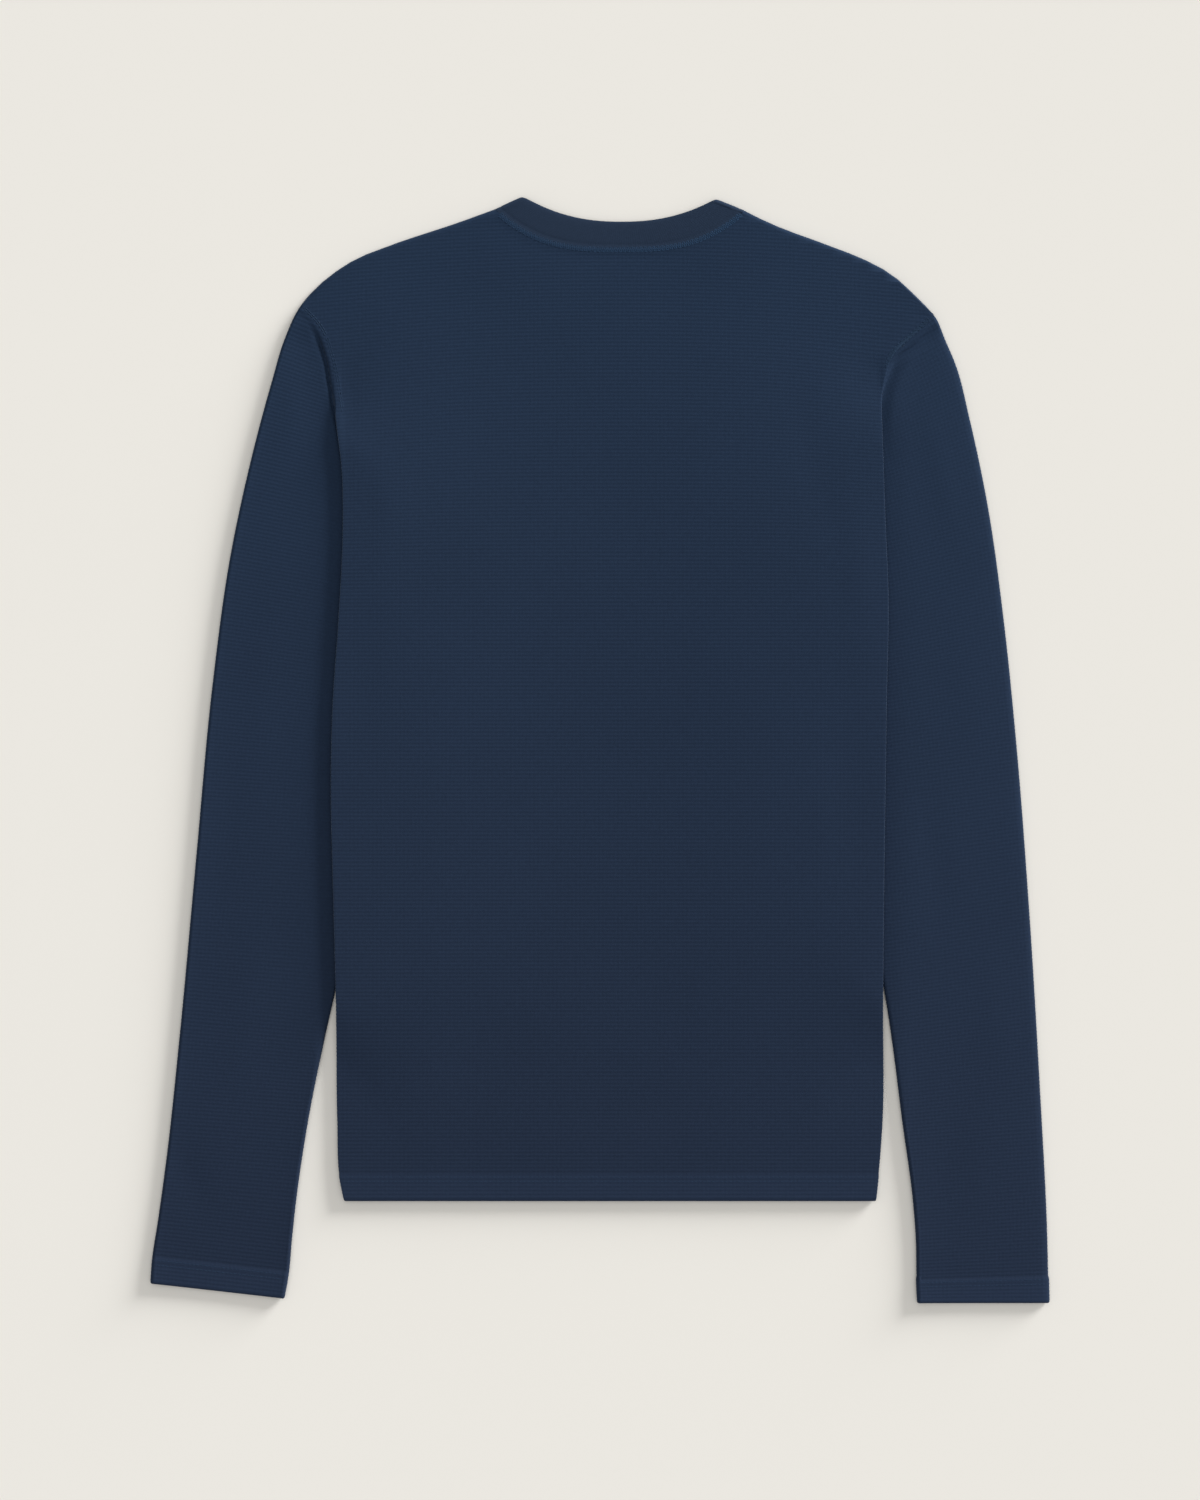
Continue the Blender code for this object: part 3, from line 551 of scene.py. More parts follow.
def ridge(seam, distance):
    height, rises, falls = RIDGE[seam]
    depth, reach = GROOVE
    raised = ramp(distance, *rises) * (1 - ramp(distance, *falls))
    return height * raised - depth * (1 - ramp(abs(distance), 0.0, reach))

def neck_seam(share):
    x = NECK_MIDDLE + SEAM_HALF * share
    return np.stack((x, SEAM_TOP_UP - SEAM_DROP * (1 - abs(share) ** SEAM_POWER)), axis=-1)

def below_neck_seam(x, up):
    """Distance below the back neck seam, straight across it."""
    share = np.clip((x - NECK_MIDDLE) / SEAM_HALF, -1.0, 1.0)
    slope = SEAM_DROP * SEAM_POWER * share ** 2 / SEAM_HALF
    past_end = np.maximum(0.0, abs(x - NECK_MIDDLE) - SEAM_HALF)
    return np.hypot((neck_seam(share)[..., 1] - up) / np.sqrt(1 + slope ** 2), past_end)

def inside_armhole(side, x, up):
    """Distance from the armhole seam into the body, straight across the seam."""
    return (read(SEAM_LINE[side], up) - side * x) / np.hypot(1, lean(SEAM_LINE[side], up))

def tucked(side, up):
    """How far the armhole seam has gone under the body's side."""
    return TUCKED[side] * (1 - ramp(up, *SEAM_TUCKS[side]))

def back_relief(x, up):
    relief = ridge("neck", below_neck_seam(x, up))
    for side in SIDES:
        shown = ramp(up, *SEAM_FADES[side])
        relief = relief + ridge(side, inside_armhole(side, x, up) + tucked(side, up)) * shown
    return relief


# ---- Body panels

def shoulder_line(side):
    line = Line(OUTER_EDGE[side])
    return line, line.marks[SHOULDER_POINT_ROW[side]]

def scoop(share, half, drop, top):
    turn = math.pi * np.asarray(share, float)
    cos = np.sign(np.cos(turn)) * np.abs(np.cos(turn)) ** SCOOP_ROUNDNESS
    sin = np.abs(np.sin(turn)) ** SCOOP_ROUNDNESS
    return np.stack((FRONT_NECK_MIDDLE - half * cos, top - drop * sin), axis=-1)

def close_to_start(length, cells):
    """Distances along a line, close together at its start."""
    return np.concatenate(([0.0], CORNER_FINE, np.linspace(CORNER_FINE[-1], length, cells + 1)[1:]))

def side_roll(side, up):
    """Cloth past the body's side, radius of its roll, width of its bend and share of its wall."""
    radius = (body_stack(up) - full_wall(up)) / 2
    share = 1 - ramp(up, *ROLL_UP[side])
    beyond = np.maximum(share * (math.pi * radius + UNDER_FLAT), EDGE_TURN)
    quarter = np.minimum(beyond / radius, math.pi / 2)
    wall_share = 1 - (1 - ROLL_WALL) * share
    inset = (radius * ROLL_SQUASH + KNIT / 2 * wall_share) * np.sin(quarter)
    return beyond, radius, inset, wall_share

def to_corner(up, corner_up):
    return ramp(up, corner_up - CORNER_REACH, corner_up)

def back_border(side, up, corner):
    """How far out the back's side is, moved as far as its shoulder corner near the top."""
    def rolled(at):
        return body_side(side, at) - side_roll(side, at)[2]

    corner_out, corner_up = corner
    return rolled(up) + (corner_out - rolled(corner_up)) * to_corner(up, corner_up)

def front_border(side, up, corner):
    """How far out the front's side is, inside the back's roll."""
    corner_out, corner_up = corner
    beyond, radius, inset, _ = side_roll(side, up)
    under = np.maximum(0.0, beyond - math.pi * radius)
    gap = SEAM_GAP * ramp(beyond, EDGE_TURN, 3.0)
    out = body_side(side, up) - inset - under - gap
    return blend(out, corner_out, to_corner(up, corner_up))

def panel_rows(top, border):
    """Points (x, up) in level rows that stop at the panel's top border, and their layout.

    border gives how far out a side is at each height. Above the top border a column repeats
    the number of its last point.
    """
    share = (top[:, 0] - top[0, 0]) / (top[-1, 0] - top[0, 0])
    levels = levels_between(HEM_UP, top[:, 1].max() + RIB_DROOP)[:, None]
    droop = ((top[:, 0] - NECK_MIDDLE) / RIB_DROOP_REACH) ** 2
    up = levels - RIB_DROOP * ramp(levels, *RIB_DROOP_UP) * droop
    reached = up > top[:, 1] - TOP_REACH
    up = np.where(reached, top[:, 1], up)
    x = top[:, 0]
    for side, corner, near in ((LEFT, top[0], 1 - ramp(share, 0.0, SIDE_SHARE)),
                               (RIGHT, top[-1], ramp(share, 1 - SIDE_SHARE, 1.0))):
        x = x + (side * border(side, up, corner * (side, 1)) - corner[0]) * near
    first = np.minimum(np.arange(len(levels))[:, None], np.argmax(reached, axis=0))
    knit_level = repeat_numbers(np.broadcast_to(levels, up.shape), first)
    return x, up, knit_level, first

def repeat_numbers(numbers, first):
    return np.take_along_axis(numbers, first, axis=0)

def make_back(material):
    shell = Shell()
    shoulders = {}
    for side in SIDES:
        line, shoulder_mark = shoulder_line(side)
        seam_mark = shoulder_mark + SEAM_LAP
        marks = seam_mark - close_to_start(seam_mark - SEAM_GAP / 2, SHOULDER_CELLS[side])
        outward = line.outward(marks)
        shoulders[side] = (line.at(marks) - outward * STACK / 2, outward)
    neck = neck_seam(shares_to_ends(NECK_COLUMNS, 0.6))
    neck[:, 1] -= SEAM_GAP / 2
    top = np.concatenate((shoulders[LEFT][0] * (-1, 1), neck, shoulders[RIGHT][0][::-1]))

    x, up, level, first = panel_rows(top, back_border)
    walls = body_wall(up)
    ribs = (rib(level) - RIB_LEVEL) * ramp(top[:, 1] - up, *RIB_ENDS) + RIB_LEVEL - 1
    relief = RIB_DEPTH * ribs + back_relief(x, up)
    main = shell.add(np.dstack((x, up, back_surface(x, up) - walls / 2)), walls, relief,
                     x, level - HEM_UP)
    main = repeat_numbers(main, first)
    shell.lay(main)
    for side, column in ((LEFT, 0), (RIGHT, -1)):
        border = (x[:, column], up[:, column], level[:, column], relief[:, column])
        add_side_roll(shell, side, main[:, column], border, first[:, column])
        add_shoulder_roll(shell, side, main, shoulders[side])
    return shell.make("back_cloth", material)

def add_side_roll(shell, side, numbers, border, first):
    """Roll the back's side under, down from its border column."""
    x, up, level, relief = border
    beyond, radius, _, wall_share = side_roll(side, up)
    tops = back_surface(x, up) - body_wall(up) / 2
    out = side * x
    strips = [numbers]
    for turned, gone_under in ROLL_STEPS:
        turn = turned * np.minimum(beyond / radius, math.pi)
        under = gone_under * np.maximum(LEAST_UNDER * beyond, beyond - math.pi * radius)
        new_out = out + radius * ROLL_SQUASH * np.sin(turn) - under
        new_z = tops - radius * (1 - np.cos(turn))
        points = place(side, np.stack((new_out, up), axis=-1), new_z)[:, None, :]
        arc = turn * radius + under
        added = shell.add(points, (body_wall(up) * wall_share)[:, None], relief[:, None],
                          (side * (out + arc))[:, None], (level - HEM_UP)[:, None])
        strips.append(repeat_numbers(added, first[:, None])[:, 0])
    layout = np.stack(strips, axis=1)
    shell.lay(layout[:, ::side])

def add_shoulder_roll(shell, side, main, shoulder):
    """Roll the back over the shoulder to the front, on from the end of the panel's last row."""
    tangent, outward = shoulder
    radius = (STACK - KNIT) / 2
    border = main[-1, :len(tangent)] if side == LEFT else main[-1, -len(tangent):]
    order = slice(None, None, -side)
    layout = [border]
    for turned, gone_under in ROLL_STEPS:
        turn = math.pi * turned
        outside = radius * math.sin(turn) - UNDER_FLAT * gone_under
        flat = tangent + outward * outside
        points = place(side, flat, KNIT / 2 + radius * (1 + math.cos(turn)))[order]
        arc = turn * radius + UNDER_FLAT * gone_under
        u = (side * tangent[:, 0])[order]
        v = (tangent[:, 1] + arc - HEM_UP)[order]
        layout.append(shell.add(points[None], KNIT, -RIB_DEPTH / 2, u[None], v[None])[0])
    shell.lay(np.array(layout), every=1)

def make_front(material):
    shell = Shell()
    tops = {}
    for side in SIDES:
        line, shoulder_mark = shoulder_line(side)
        marks = np.linspace(shoulder_mark - SEAM_GAP, SEAM_GAP, FRONT_SHOULDER_COLUMNS)
        inset = STACK / 2 + UNDER_FLAT + SEAM_GAP
        tops[side] = line.at(marks) - line.outward(marks) * inset
    neck = scoop(np.linspace(0, 1, FRONT_NECK_COLUMNS), FRONT_NECK_HALF + SEAM_GAP,
                 FRONT_NECK_DROP + SEAM_GAP, FRONT_NECK_UP)
    top = np.concatenate((tops[LEFT] * (-1, 1), neck, tops[RIGHT][::-1]))

    x, up, level, first = panel_rows(top, front_border)
    height = front_bottom(x, up) + full_wall(up) / 2
    main = shell.add(np.dstack((x, up, height)), body_wall(up), RIB_DEPTH * (rib(level) - 1),
                     x, level - HEM_UP)
    shell.lay(repeat_numbers(main, first)[:, ::-1])
    return shell.make("front_cloth", material)


# ---- Sleeves

def rib_level(side, flat):
    """Height at which the rib through a point (out, up) meets the sleeve's outer edge."""
    x = side * flat[..., 0]
    up = flat[..., 1]
    level = up
    for _ in range(8):
        edge_x = side * read(sleeve_edge_table(side), level)
        level = up - read(RIB_SLOPE[side], level) * (x - edge_x)
    return level

def sleeve_surface(side, out, up):
    shown = 1 - ramp(body_side(side, up) - out, *FOLDS_OUT)
    on_sleeve = ramp(read(sleeve_edge_table(side), up) - out, *FOLDS_IN)
    return sleeve_top(side, out, up) + folds(SLEEVE_FOLDS[side], out, up) * shown * on_sleeve

def folded_start(side, line, marks, turn):
    """Where a folded edge starts, its way out of the sleeve, and its height."""
    edge = line.at(marks)
    way = turn * line.outward(marks)
    on_cuff = on_turning(line.length - marks)
    height = sleeve_top(side, edge[:, 0], edge[:, 1]) + CUFF_RISE * on_cuff
    wall = blend(KNIT, CUFF_WALL, on_cuff)
    inset = (height - wall) / 2 * FOLD_SQUASH + wall / 2
    return edge + way * (CUFF_FLARE[side] * on_cuff - inset)[:, None], way, height[:, None]

def armhole_border(side, start_up):
    """The sleeve's sewn border: down along the body's side, then under the body."""
    seam_up = np.linspace(start_up, TUCK_UP, 200)
    slid_under = SLEEVE_UNDER * (1 - ramp(seam_up, *SLEEVE_UNDER_UP))
    under_up = np.linspace(TUCK_UP, UNDERARM_UP, 120)[1:-1]
    out = np.concatenate((body_side(side, seam_up) + SEAM_GAP - slid_under,
                          read(ARMHOLE_UNDER[side], under_up)))
    return np.stack((out, np.concatenate((seam_up, under_up))), axis=-1)

def at_levels(levels, known, *tables):
    """Tables whose rows are known at some levels, read at other levels."""
    order = np.argsort(known)
    return [np.stack([np.interp(levels, known[order], column[order]) for column in table.T],
                     axis=-1) for table in tables]

def sleeve_columns(length):
    """Shares of the way across a sleeve, close together by the armhole and the outer edge."""
    drawn = np.minimum(1.0, length / FINE_LENGTH)
    by_seam = np.array(SEAM_FINE) * drawn
    by_edge = length - np.array(EDGE_FINE) * drawn
    last = by_seam[:, -1:]
    coarse = last + (length - last) * np.linspace(0, 1, SLEEVE_CELLS + 1)[1:]
    from_seam = np.sort(np.concatenate((0 * length, by_seam, coarse, by_edge), axis=1))
    return np.clip(1 - from_seam / np.maximum(length, 0.05), 0, 1)[:, ::-1]

def make_sleeve(side, material):
    shell = Shell()
    line, shoulder_mark = shoulder_line(side)
    inner = Line([(out, up) for up, out in INNER_EDGE[side]])
    outer_marks = np.linspace(shoulder_mark + SEAM_GAP, line.length, 900)
    outer = folded_start(side, line, outer_marks, 1)
    folded_inner = folded_start(side, inner, np.linspace(0, inner.length, 800), -1)
    sewn = armhole_border(side, outer[0][0, 1] - 2.0)
    chain = np.concatenate((outer[0][:1], sewn, folded_inner[0]))

    outer_level = rib_level(side, outer[0])
    chain_level = rib_level(side, chain)
    inner_level = chain_level[-len(folded_inner[0]):]
    cuff_level = max(outer_level[-1], chain_level[-1])
    top_level = min(outer_level[0], chain_level.max())
    levels = np.concatenate((levels_between(cuff_level, top_level - COURSE), (top_level,)))
    start, outer_way, outer_height = at_levels(levels, outer_level, *outer)
    end, = at_levels(levels, chain_level, chain)
    inner_way, inner_height = at_levels(levels, inner_level, *folded_inner[1:])
    hidden = int((levels <= inner_level[0]).sum())

    knit_level = (levels - cuff_level)[:, None]
    on_cuff = on_turning(knit_level)
    thickness = blend(KNIT, CUFF_WALL, on_cuff)
    walls = thickness * folded_edge(knit_level)
    ribs = RIB_DEPTH * (rib(knit_level) - 1)

    def add_sheet(shares, heights, relief, arc_side):
        flat = start[:, None] + (end - start)[:, None] * shares[..., None]
        arc = arc_side * np.linalg.norm(flat - start[:, None], axis=-1)
        return shell.add(place(side, flat, heights(flat)), walls, relief(flat), arc, knit_level)

    def upper_height(flat):
        top = sleeve_surface(side, flat[..., 0], flat[..., 1]) + CUFF_RISE * on_cuff
        top[:, :1] = outer_height
        top[:hidden, -1:] = inner_height[:hidden]
        return top - thickness / 2

    def upper_relief(flat):
        """Ribs, the ridge at the armhole seam, the cuff's lines of stitches and the crease."""
        out, up = flat[..., 0], flat[..., 1]
        by_seam = ridge(side, inside_armhole(side, side * out, up)) * ramp(up, *SEAM_TUCKS[side])
        depth, half_width = STITCH_DENT
        dents = depth * sum(bump(knit_level, needle, half_width) for needle in HEM_NEEDLES)
        return ribs + by_seam - dents - crease(side, out, up)[1]

    def add_fold(base, way_out, height, shares, arc_side):
        radius = (height - thickness) / 2
        turn = math.pi * shares
        flat = base[:, None] + way_out[:, None] * (radius * FOLD_SQUASH * np.sin(turn))[..., None]
        points = place(side, flat, thickness / 2 + radius * (1 + np.cos(turn)))
        return shell.add(points, walls, ribs, arc_side * shares * FOLD_ARC, knit_level)

    upper = add_sheet(sleeve_columns(np.linalg.norm(end - start, axis=1)[:, None]),
                      upper_height, upper_relief, 1.0)
    lower = add_sheet(np.linspace(1, 0, UNDERSIDE_COLUMNS)[None],
                      lambda flat: thickness / 2, lambda flat: ribs, -1.0)
    steps = np.linspace(0, 1, FOLD_COLUMNS + 2)[1:-1]
    outer_fold = add_fold(start, outer_way, outer_height, steps[::-1], -1.0)
    inner_fold = add_fold(end, inner_way, inner_height, steps, 1.0)
    ring = np.concatenate((lower, outer_fold, upper), axis=1)
    inner_strip = np.concatenate((upper[:, -1:], inner_fold, lower[:, :1]), axis=1)
    shell.lay(ring[:, ::-side], also=(hidden - 1,))
    shell.lay(inner_strip[:hidden, ::-side])
    piece = shell.make(f"sleeve_{SIDE_NAME[side]}_cloth", material)
    cuff_rows = [np.argmin(abs(knit_level - needle)) for needle in HEM_NEEDLES]
    return piece, [(start[row], end[row]) for row in cuff_rows]


# ---- Neckband

BAND_RADIUS = (STACK - BAND_WALL) / 2

def band_fold(side, shares):
    """Seam and free edge of the neckband as it turns over a shoulder, from the top down."""
    neck_point = np.array(OUTER_EDGE[side][0])
    tip = np.array(BAND_TIP[side])
    along = unit(tip - neck_point)
    seam_way = shoulder_line(side)[0].outward(0.0)
    free_way = np.array((along[1], -along[0]))
    turned = np.sin(math.pi * shares)[:, None]
    heights = BAND_WALL / 2 + BAND_RADIUS * (1 + np.cos(math.pi * shares))
    seam = neck_point + along * SEAM_GAP / 2 + seam_way * (BAND_RADIUS * turned - STACK / 2)
    free = tip + along * TIP_SLANT * (1 - turned) + free_way * (BAND_RADIUS * turned - STACK / 2)
    return place(side, seam, heights), place(side, free, heights)

def band_back(shares):
    seam = neck_seam(shares) + (0, SEAM_GAP / 2)
    free_up = FREE_TOP_UP - FREE_DROP * (1 - abs(shares) ** FREE_POWER)
    free = np.stack((BAND_MIDDLE + FREE_HALF * shares, free_up), axis=-1)
    return [place(RIGHT, edge, back_top(edge[:, 0], edge[:, 1]) - BAND_WALL / 2)
            for edge in (seam, free)]

def band_front(shares):
    seam = scoop(shares, FRONT_NECK_HALF, FRONT_NECK_DROP, FRONT_NECK_UP)
    free = scoop(shares, FRONT_NECK_HALF - BAND_WIDTH, FRONT_NECK_DROP - BAND_WIDTH, FRONT_FREE_UP)
    return [place(RIGHT, edge, BAND_WALL / 2) for edge in (seam, free)]

def make_neckband(material):
    shell = Shell()
    turns = np.linspace(0, 1, BAND_FOLD_ROWS)
    stretches = (band_fold(LEFT, turns[::-1]), band_back(shares_to_ends(BAND_ROWS, 0.5)),
                 band_fold(RIGHT, turns), band_front(np.linspace(1, 0, BAND_ROWS)))
    seams, frees = (np.concatenate(edges)[:, None] for edges in zip(*stretches))
    across = BAND_COLUMNS
    from_seam = -across * BAND_WIDTH
    groove_at, groove_width, groove_depth = BAND_GROOVE
    puff = BAND_PUFF * np.sin(math.pi * across) + ridge("neck", from_seam)
    puff -= groove_depth * bump(from_seam, groove_at, groove_width)
    grid = seams * (1 - across[:, None]) + frees * across[:, None]
    along = distances(0.5 * (seams + frees)[:, 0])
    numbers = shell.add(grid, BAND_WALL * np.interp(across, *BAND_THINS), puff, along[:, None],
                        across * BAND_WIDTH)
    shell.lay(np.concatenate((numbers, numbers[:1]))[:, ::-1], every=1)
    return shell.make("neckband_cloth", material)


# ---- Stitches

STATIONS = np.array((0.0, 0.22, 0.78, 1.0))     # along one stitch
SINKS = np.array((-0.2, 0.04, 0.04, -0.2))      # height there
SWELLS = np.array((0.55, 1.0, 1.0, 0.55))       # share of the thread's radius there
THREAD_SIDES = 6

def point_at(path, marks, at):
    return np.stack([np.interp(at, marks, path[:, axis]) for axis in range(3)], axis=-1)

def row_legs(path, radius=STITCH_RADIUS, top_side=1.0):
    """Middle lines of the stitches in a row along a path, and their radius."""
    marks = distances(path)
    starts = (np.arange(int(marks[-1] // STITCH_PITCH)) + FIRST_STITCH) * STITCH_PITCH
    legs = point_at(path, marks, starts[:, None] + STATIONS * STITCH_LENGTH)
    legs[..., 2] += top_side * SINKS
    return legs, radius

def cover_legs(path_a, path_b, pitch):
    """Middle lines of the thread that goes to and fro between two rows."""
    marks_a = distances(path_a)
    marks_b = distances(path_b)
    at = np.arange(pitch, marks_a[-1] - pitch, pitch)
    ends_a = point_at(path_a, marks_a, at)
    ends_b = point_at(path_b, marks_b, at / marks_a[-1] * marks_b[-1])
    odd = (np.arange(len(at)) % 2 == 1)[:, None]
    corners = np.where(odd, ends_a, ends_b)
    legs = corners[:-1, None] + np.diff(corners, axis=0)[:, None] * STATIONS[:, None]
    legs[..., 2] += SINKS / 2
    return legs, COVER_RADIUS

def make_stitches(name, runs, material):
    """One piece with a small closed tube for each stitch."""
    points = []
    faces = []
    around = np.linspace(0, 2 * math.pi, THREAD_SIDES, endpoint=False)
    last_ring = (len(STATIONS) - 1) * THREAD_SIDES
    tube = []
    for ring in range(0, last_ring, THREAD_SIDES):
        for k in range(THREAD_SIDES):
            a = ring + k
            b = ring + (k + 1) % THREAD_SIDES
            tube.append((a, b, b + THREAD_SIDES, a + THREAD_SIDES))
    tube.append(tuple(reversed(range(THREAD_SIDES))))
    tube.append(tuple(range(last_ring, last_ring + THREAD_SIDES)))
    for legs, radius in runs:
        for middle in legs:
            across = unit(np.cross((0, 0, 1), middle[-1] - middle[0]))
            ring = np.outer(np.cos(around), across) + np.outer(np.sin(around), (0, 0, 1))
            first = len(points) * len(STATIONS) * THREAD_SIDES
            points.append((middle[:, None] + ring * (radius * SWELLS)[:, None, None]).reshape(-1, 3))
            faces += [tuple(first + corner for corner in face) for face in tube]
    return mesh_piece(name, np.concatenate(points) * MM, faces, None, material)

def neck_stitches(material):
    rows = []
    hidden_rows = []
    share = np.linspace(-NECK_ROW_END, NECK_ROW_END, 160)
    seam = neck_seam(share)
    slope = SEAM_DROP * SEAM_POWER * share * abs(share) / SEAM_HALF
    length = np.sqrt(1 + slope ** 2)
    for needle in NECK_NEEDLES:
        x = seam[:, 0] + slope / length * needle
        up = seam[:, 1] - needle / length
        z = back_surface(x, up) + ridge("neck", np.full_like(x, needle))
        rows.append(np.stack((x, up, z), axis=-1))
        flat = scoop(np.linspace(0.02, 0.98, 200), FRONT_NECK_HALF + needle,
                     FRONT_NECK_DROP + needle, FRONT_NECK_UP)
        hidden_rows.append(place(RIGHT, flat, THREAD_UNDER))
    runs = [row_legs(row) for row in rows] + [cover_legs(*rows, NECK_COVER)]
    runs += [row_legs(row, top_side=-1.0) for row in hidden_rows]
    return make_stitches("neck_stitches", runs, material)

def armhole_stitches(side, material):
    rows = []
    for needle in ARMHOLE_NEEDLES[side]:
        up = np.linspace(BODY_SIDE[side][-1][0] - 2.5, SEAM_FADES[side][0], 160)
        up = up[needle - tucked(side, up) > 0.2]
        slope = lean(SEAM_LINE[side], up)
        inside = (needle - tucked(side, up)) / np.hypot(1, slope)
        out = read(SEAM_LINE[side], up) - inside
        down = up + slope * inside
        z = back_surface(side * out, down) + back_relief(side * out, down)
        rows.append(place(side, np.stack((out, down), axis=-1), z))
    if side == LEFT:
        runs = [row_legs(row[row[:, 1] <= LEFT_BOLD_UP], LEFT_STITCH_RADIUS) for row in rows]
        runs += [row_legs(row[row[:, 1] > LEFT_BOLD_UP], LEFT_BOLD_RADIUS) for row in rows]
    else:
        runs = [row_legs(row) for row in rows] + [cover_legs(*rows, ARMHOLE_COVER)]
    return make_stitches(f"armhole_stitches_{SIDE_NAME[side]}", runs, material)

def turned_edge_rows(side, flat, surface):
    """Stitches along a hem or cuff: a fine row on its upper side and a row underneath."""
    above = place(side, flat, surface(flat[:, 0], flat[:, 1]) - THREAD_SUNK)
    below = place(side, flat, THREAD_UNDER)
    return row_legs(above, FINE_STITCH_RADIUS), below

def hem_stitches(material):
    runs = []
    for needle in HEM_NEEDLES:
        up = HEM_UP + needle
        x = np.linspace(-body_side(LEFT, up) + HEM_ROW_MARGIN,
                        body_side(RIGHT, up) - HEM_ROW_MARGIN, 200)
        flat = np.stack((x, np.full_like(x, up)), axis=-1)
        above, below = turned_edge_rows(RIGHT, flat, back_surface)
        runs += [above, row_legs(below[abs(x - HEM_MIDDLE) < UNDER_HEM_HALF], top_side=-1.0)]
    return make_stitches("hem_stitches", runs, material)

def cuff_stitches(side, ends, material):
    runs = []
    for start, end in ends:
        flat = blend(start, end, np.linspace(0.01, 0.99, 60)[:, None])
        above, below = turned_edge_rows(
            side, flat, lambda out, up: sleeve_surface(side, out, up) + CUFF_RISE)
        runs += [above, row_legs(below, top_side=-1.0)]
    return make_stitches(f"cuff_stitches_{SIDE_NAME[side]}", runs, material)


# ---- Materials

HEM_HIGHLIGHT_STEP = 0.8      # half of the stretch over which the painted highlight of the turned hem and cuffs ends
# most that the painted light may lighten a thread
THREAD_LIGHTEST = 1.3
MIDDLE_SHADE = -0.13      # at the garment's middle, and what it gains for each metre
# painted light: lighter towards the top, painted shade towards the bottom
PAINTED_LIGHT_UP = 0.5
PAINTED_LIGHT_ACROSS = 0.3        # painted light: lighter towards +x, where the light comes from
SHADE_ASIDE = 0.5         # towards either side
BLOTCHES = 0.3
MOTTLE = 0.7
DARKEST = 0.78            # brightness without any shade, and what a whole shade adds
SHADE_ADDS = 0.44

class Nodes:
    """Short way to write a material's nodes."""

    def __init__(self, name):
        self.material = bpy.data.materials.new(name)
        self.material.use_nodes = True
        self.tree = self.material.node_tree
        self.shader = self.tree.nodes["Principled BSDF"]

    def fill(self, node, inputs):
        """Give inputs their values: numbers, colours or other nodes' outputs."""
        for key, value in inputs.items():
            if isinstance(value, bpy.types.NodeSocket):
                self.tree.links.new(value, node.inputs[key])
            else:
                node.inputs[key].default_value = value

    def node(self, kind, inputs, **settings):
        """Add a node, and return its outputs."""
        node = self.tree.nodes.new(kind)
        for key, value in settings.items():
            setattr(node, key, value)
        self.fill(node, inputs)
        return node.outputs

    def math(self, operation, *inputs):
        return self.node("ShaderNodeMath", dict(enumerate(inputs)), operation=operation)[0]

    def sum(self, total, *terms):
        """A number plus each term's value times its share."""
        for value, share in terms:
            total = self.math("MULTIPLY_ADD", value, share, total)
        return total

    def position(self):
        return self.node("ShaderNodeTexCoord", {})["Object"]

    def split(self, vector):
        return self.node("ShaderNodeSeparateXYZ", {"Vector": vector})[:2]

    def noise(self, scale, detail=2.0, roughness=0.5):
        return self.node("ShaderNodeTexNoise", {"Vector": self.position(), "Scale": scale,
                                                "Detail": detail, "Roughness": roughness})["Fac"]

    def wave(self, position, pitch):
        """0 to 1 and back over each pitch, in millimetres, of a UV coordinate in metres."""
        turn = self.math("MULTIPLY", position, 2 * math.pi / (pitch * MM))
        return self.math("MULTIPLY_ADD", self.math("COSINE", turn), 0.5, 0.5)

    def between(self, factor, low, high):
        return self.node("ShaderNodeMix", {"Factor": factor, "A": opaque(low), "B": opaque(high)},
                         data_type="RGBA")["Result"]

    def dye(self, colour, brightness):
        dyed = self.node("ShaderNodeVectorMath", {"Vector": colour, "Scale": brightness},
                         operation="SCALE")
        self.fill(self.shader, {"Base Color": dyed["Vector"]})

def opaque(colour, factor=1.0):
    return tuple(channel * factor for channel in colour[:3]) + (1.0,)

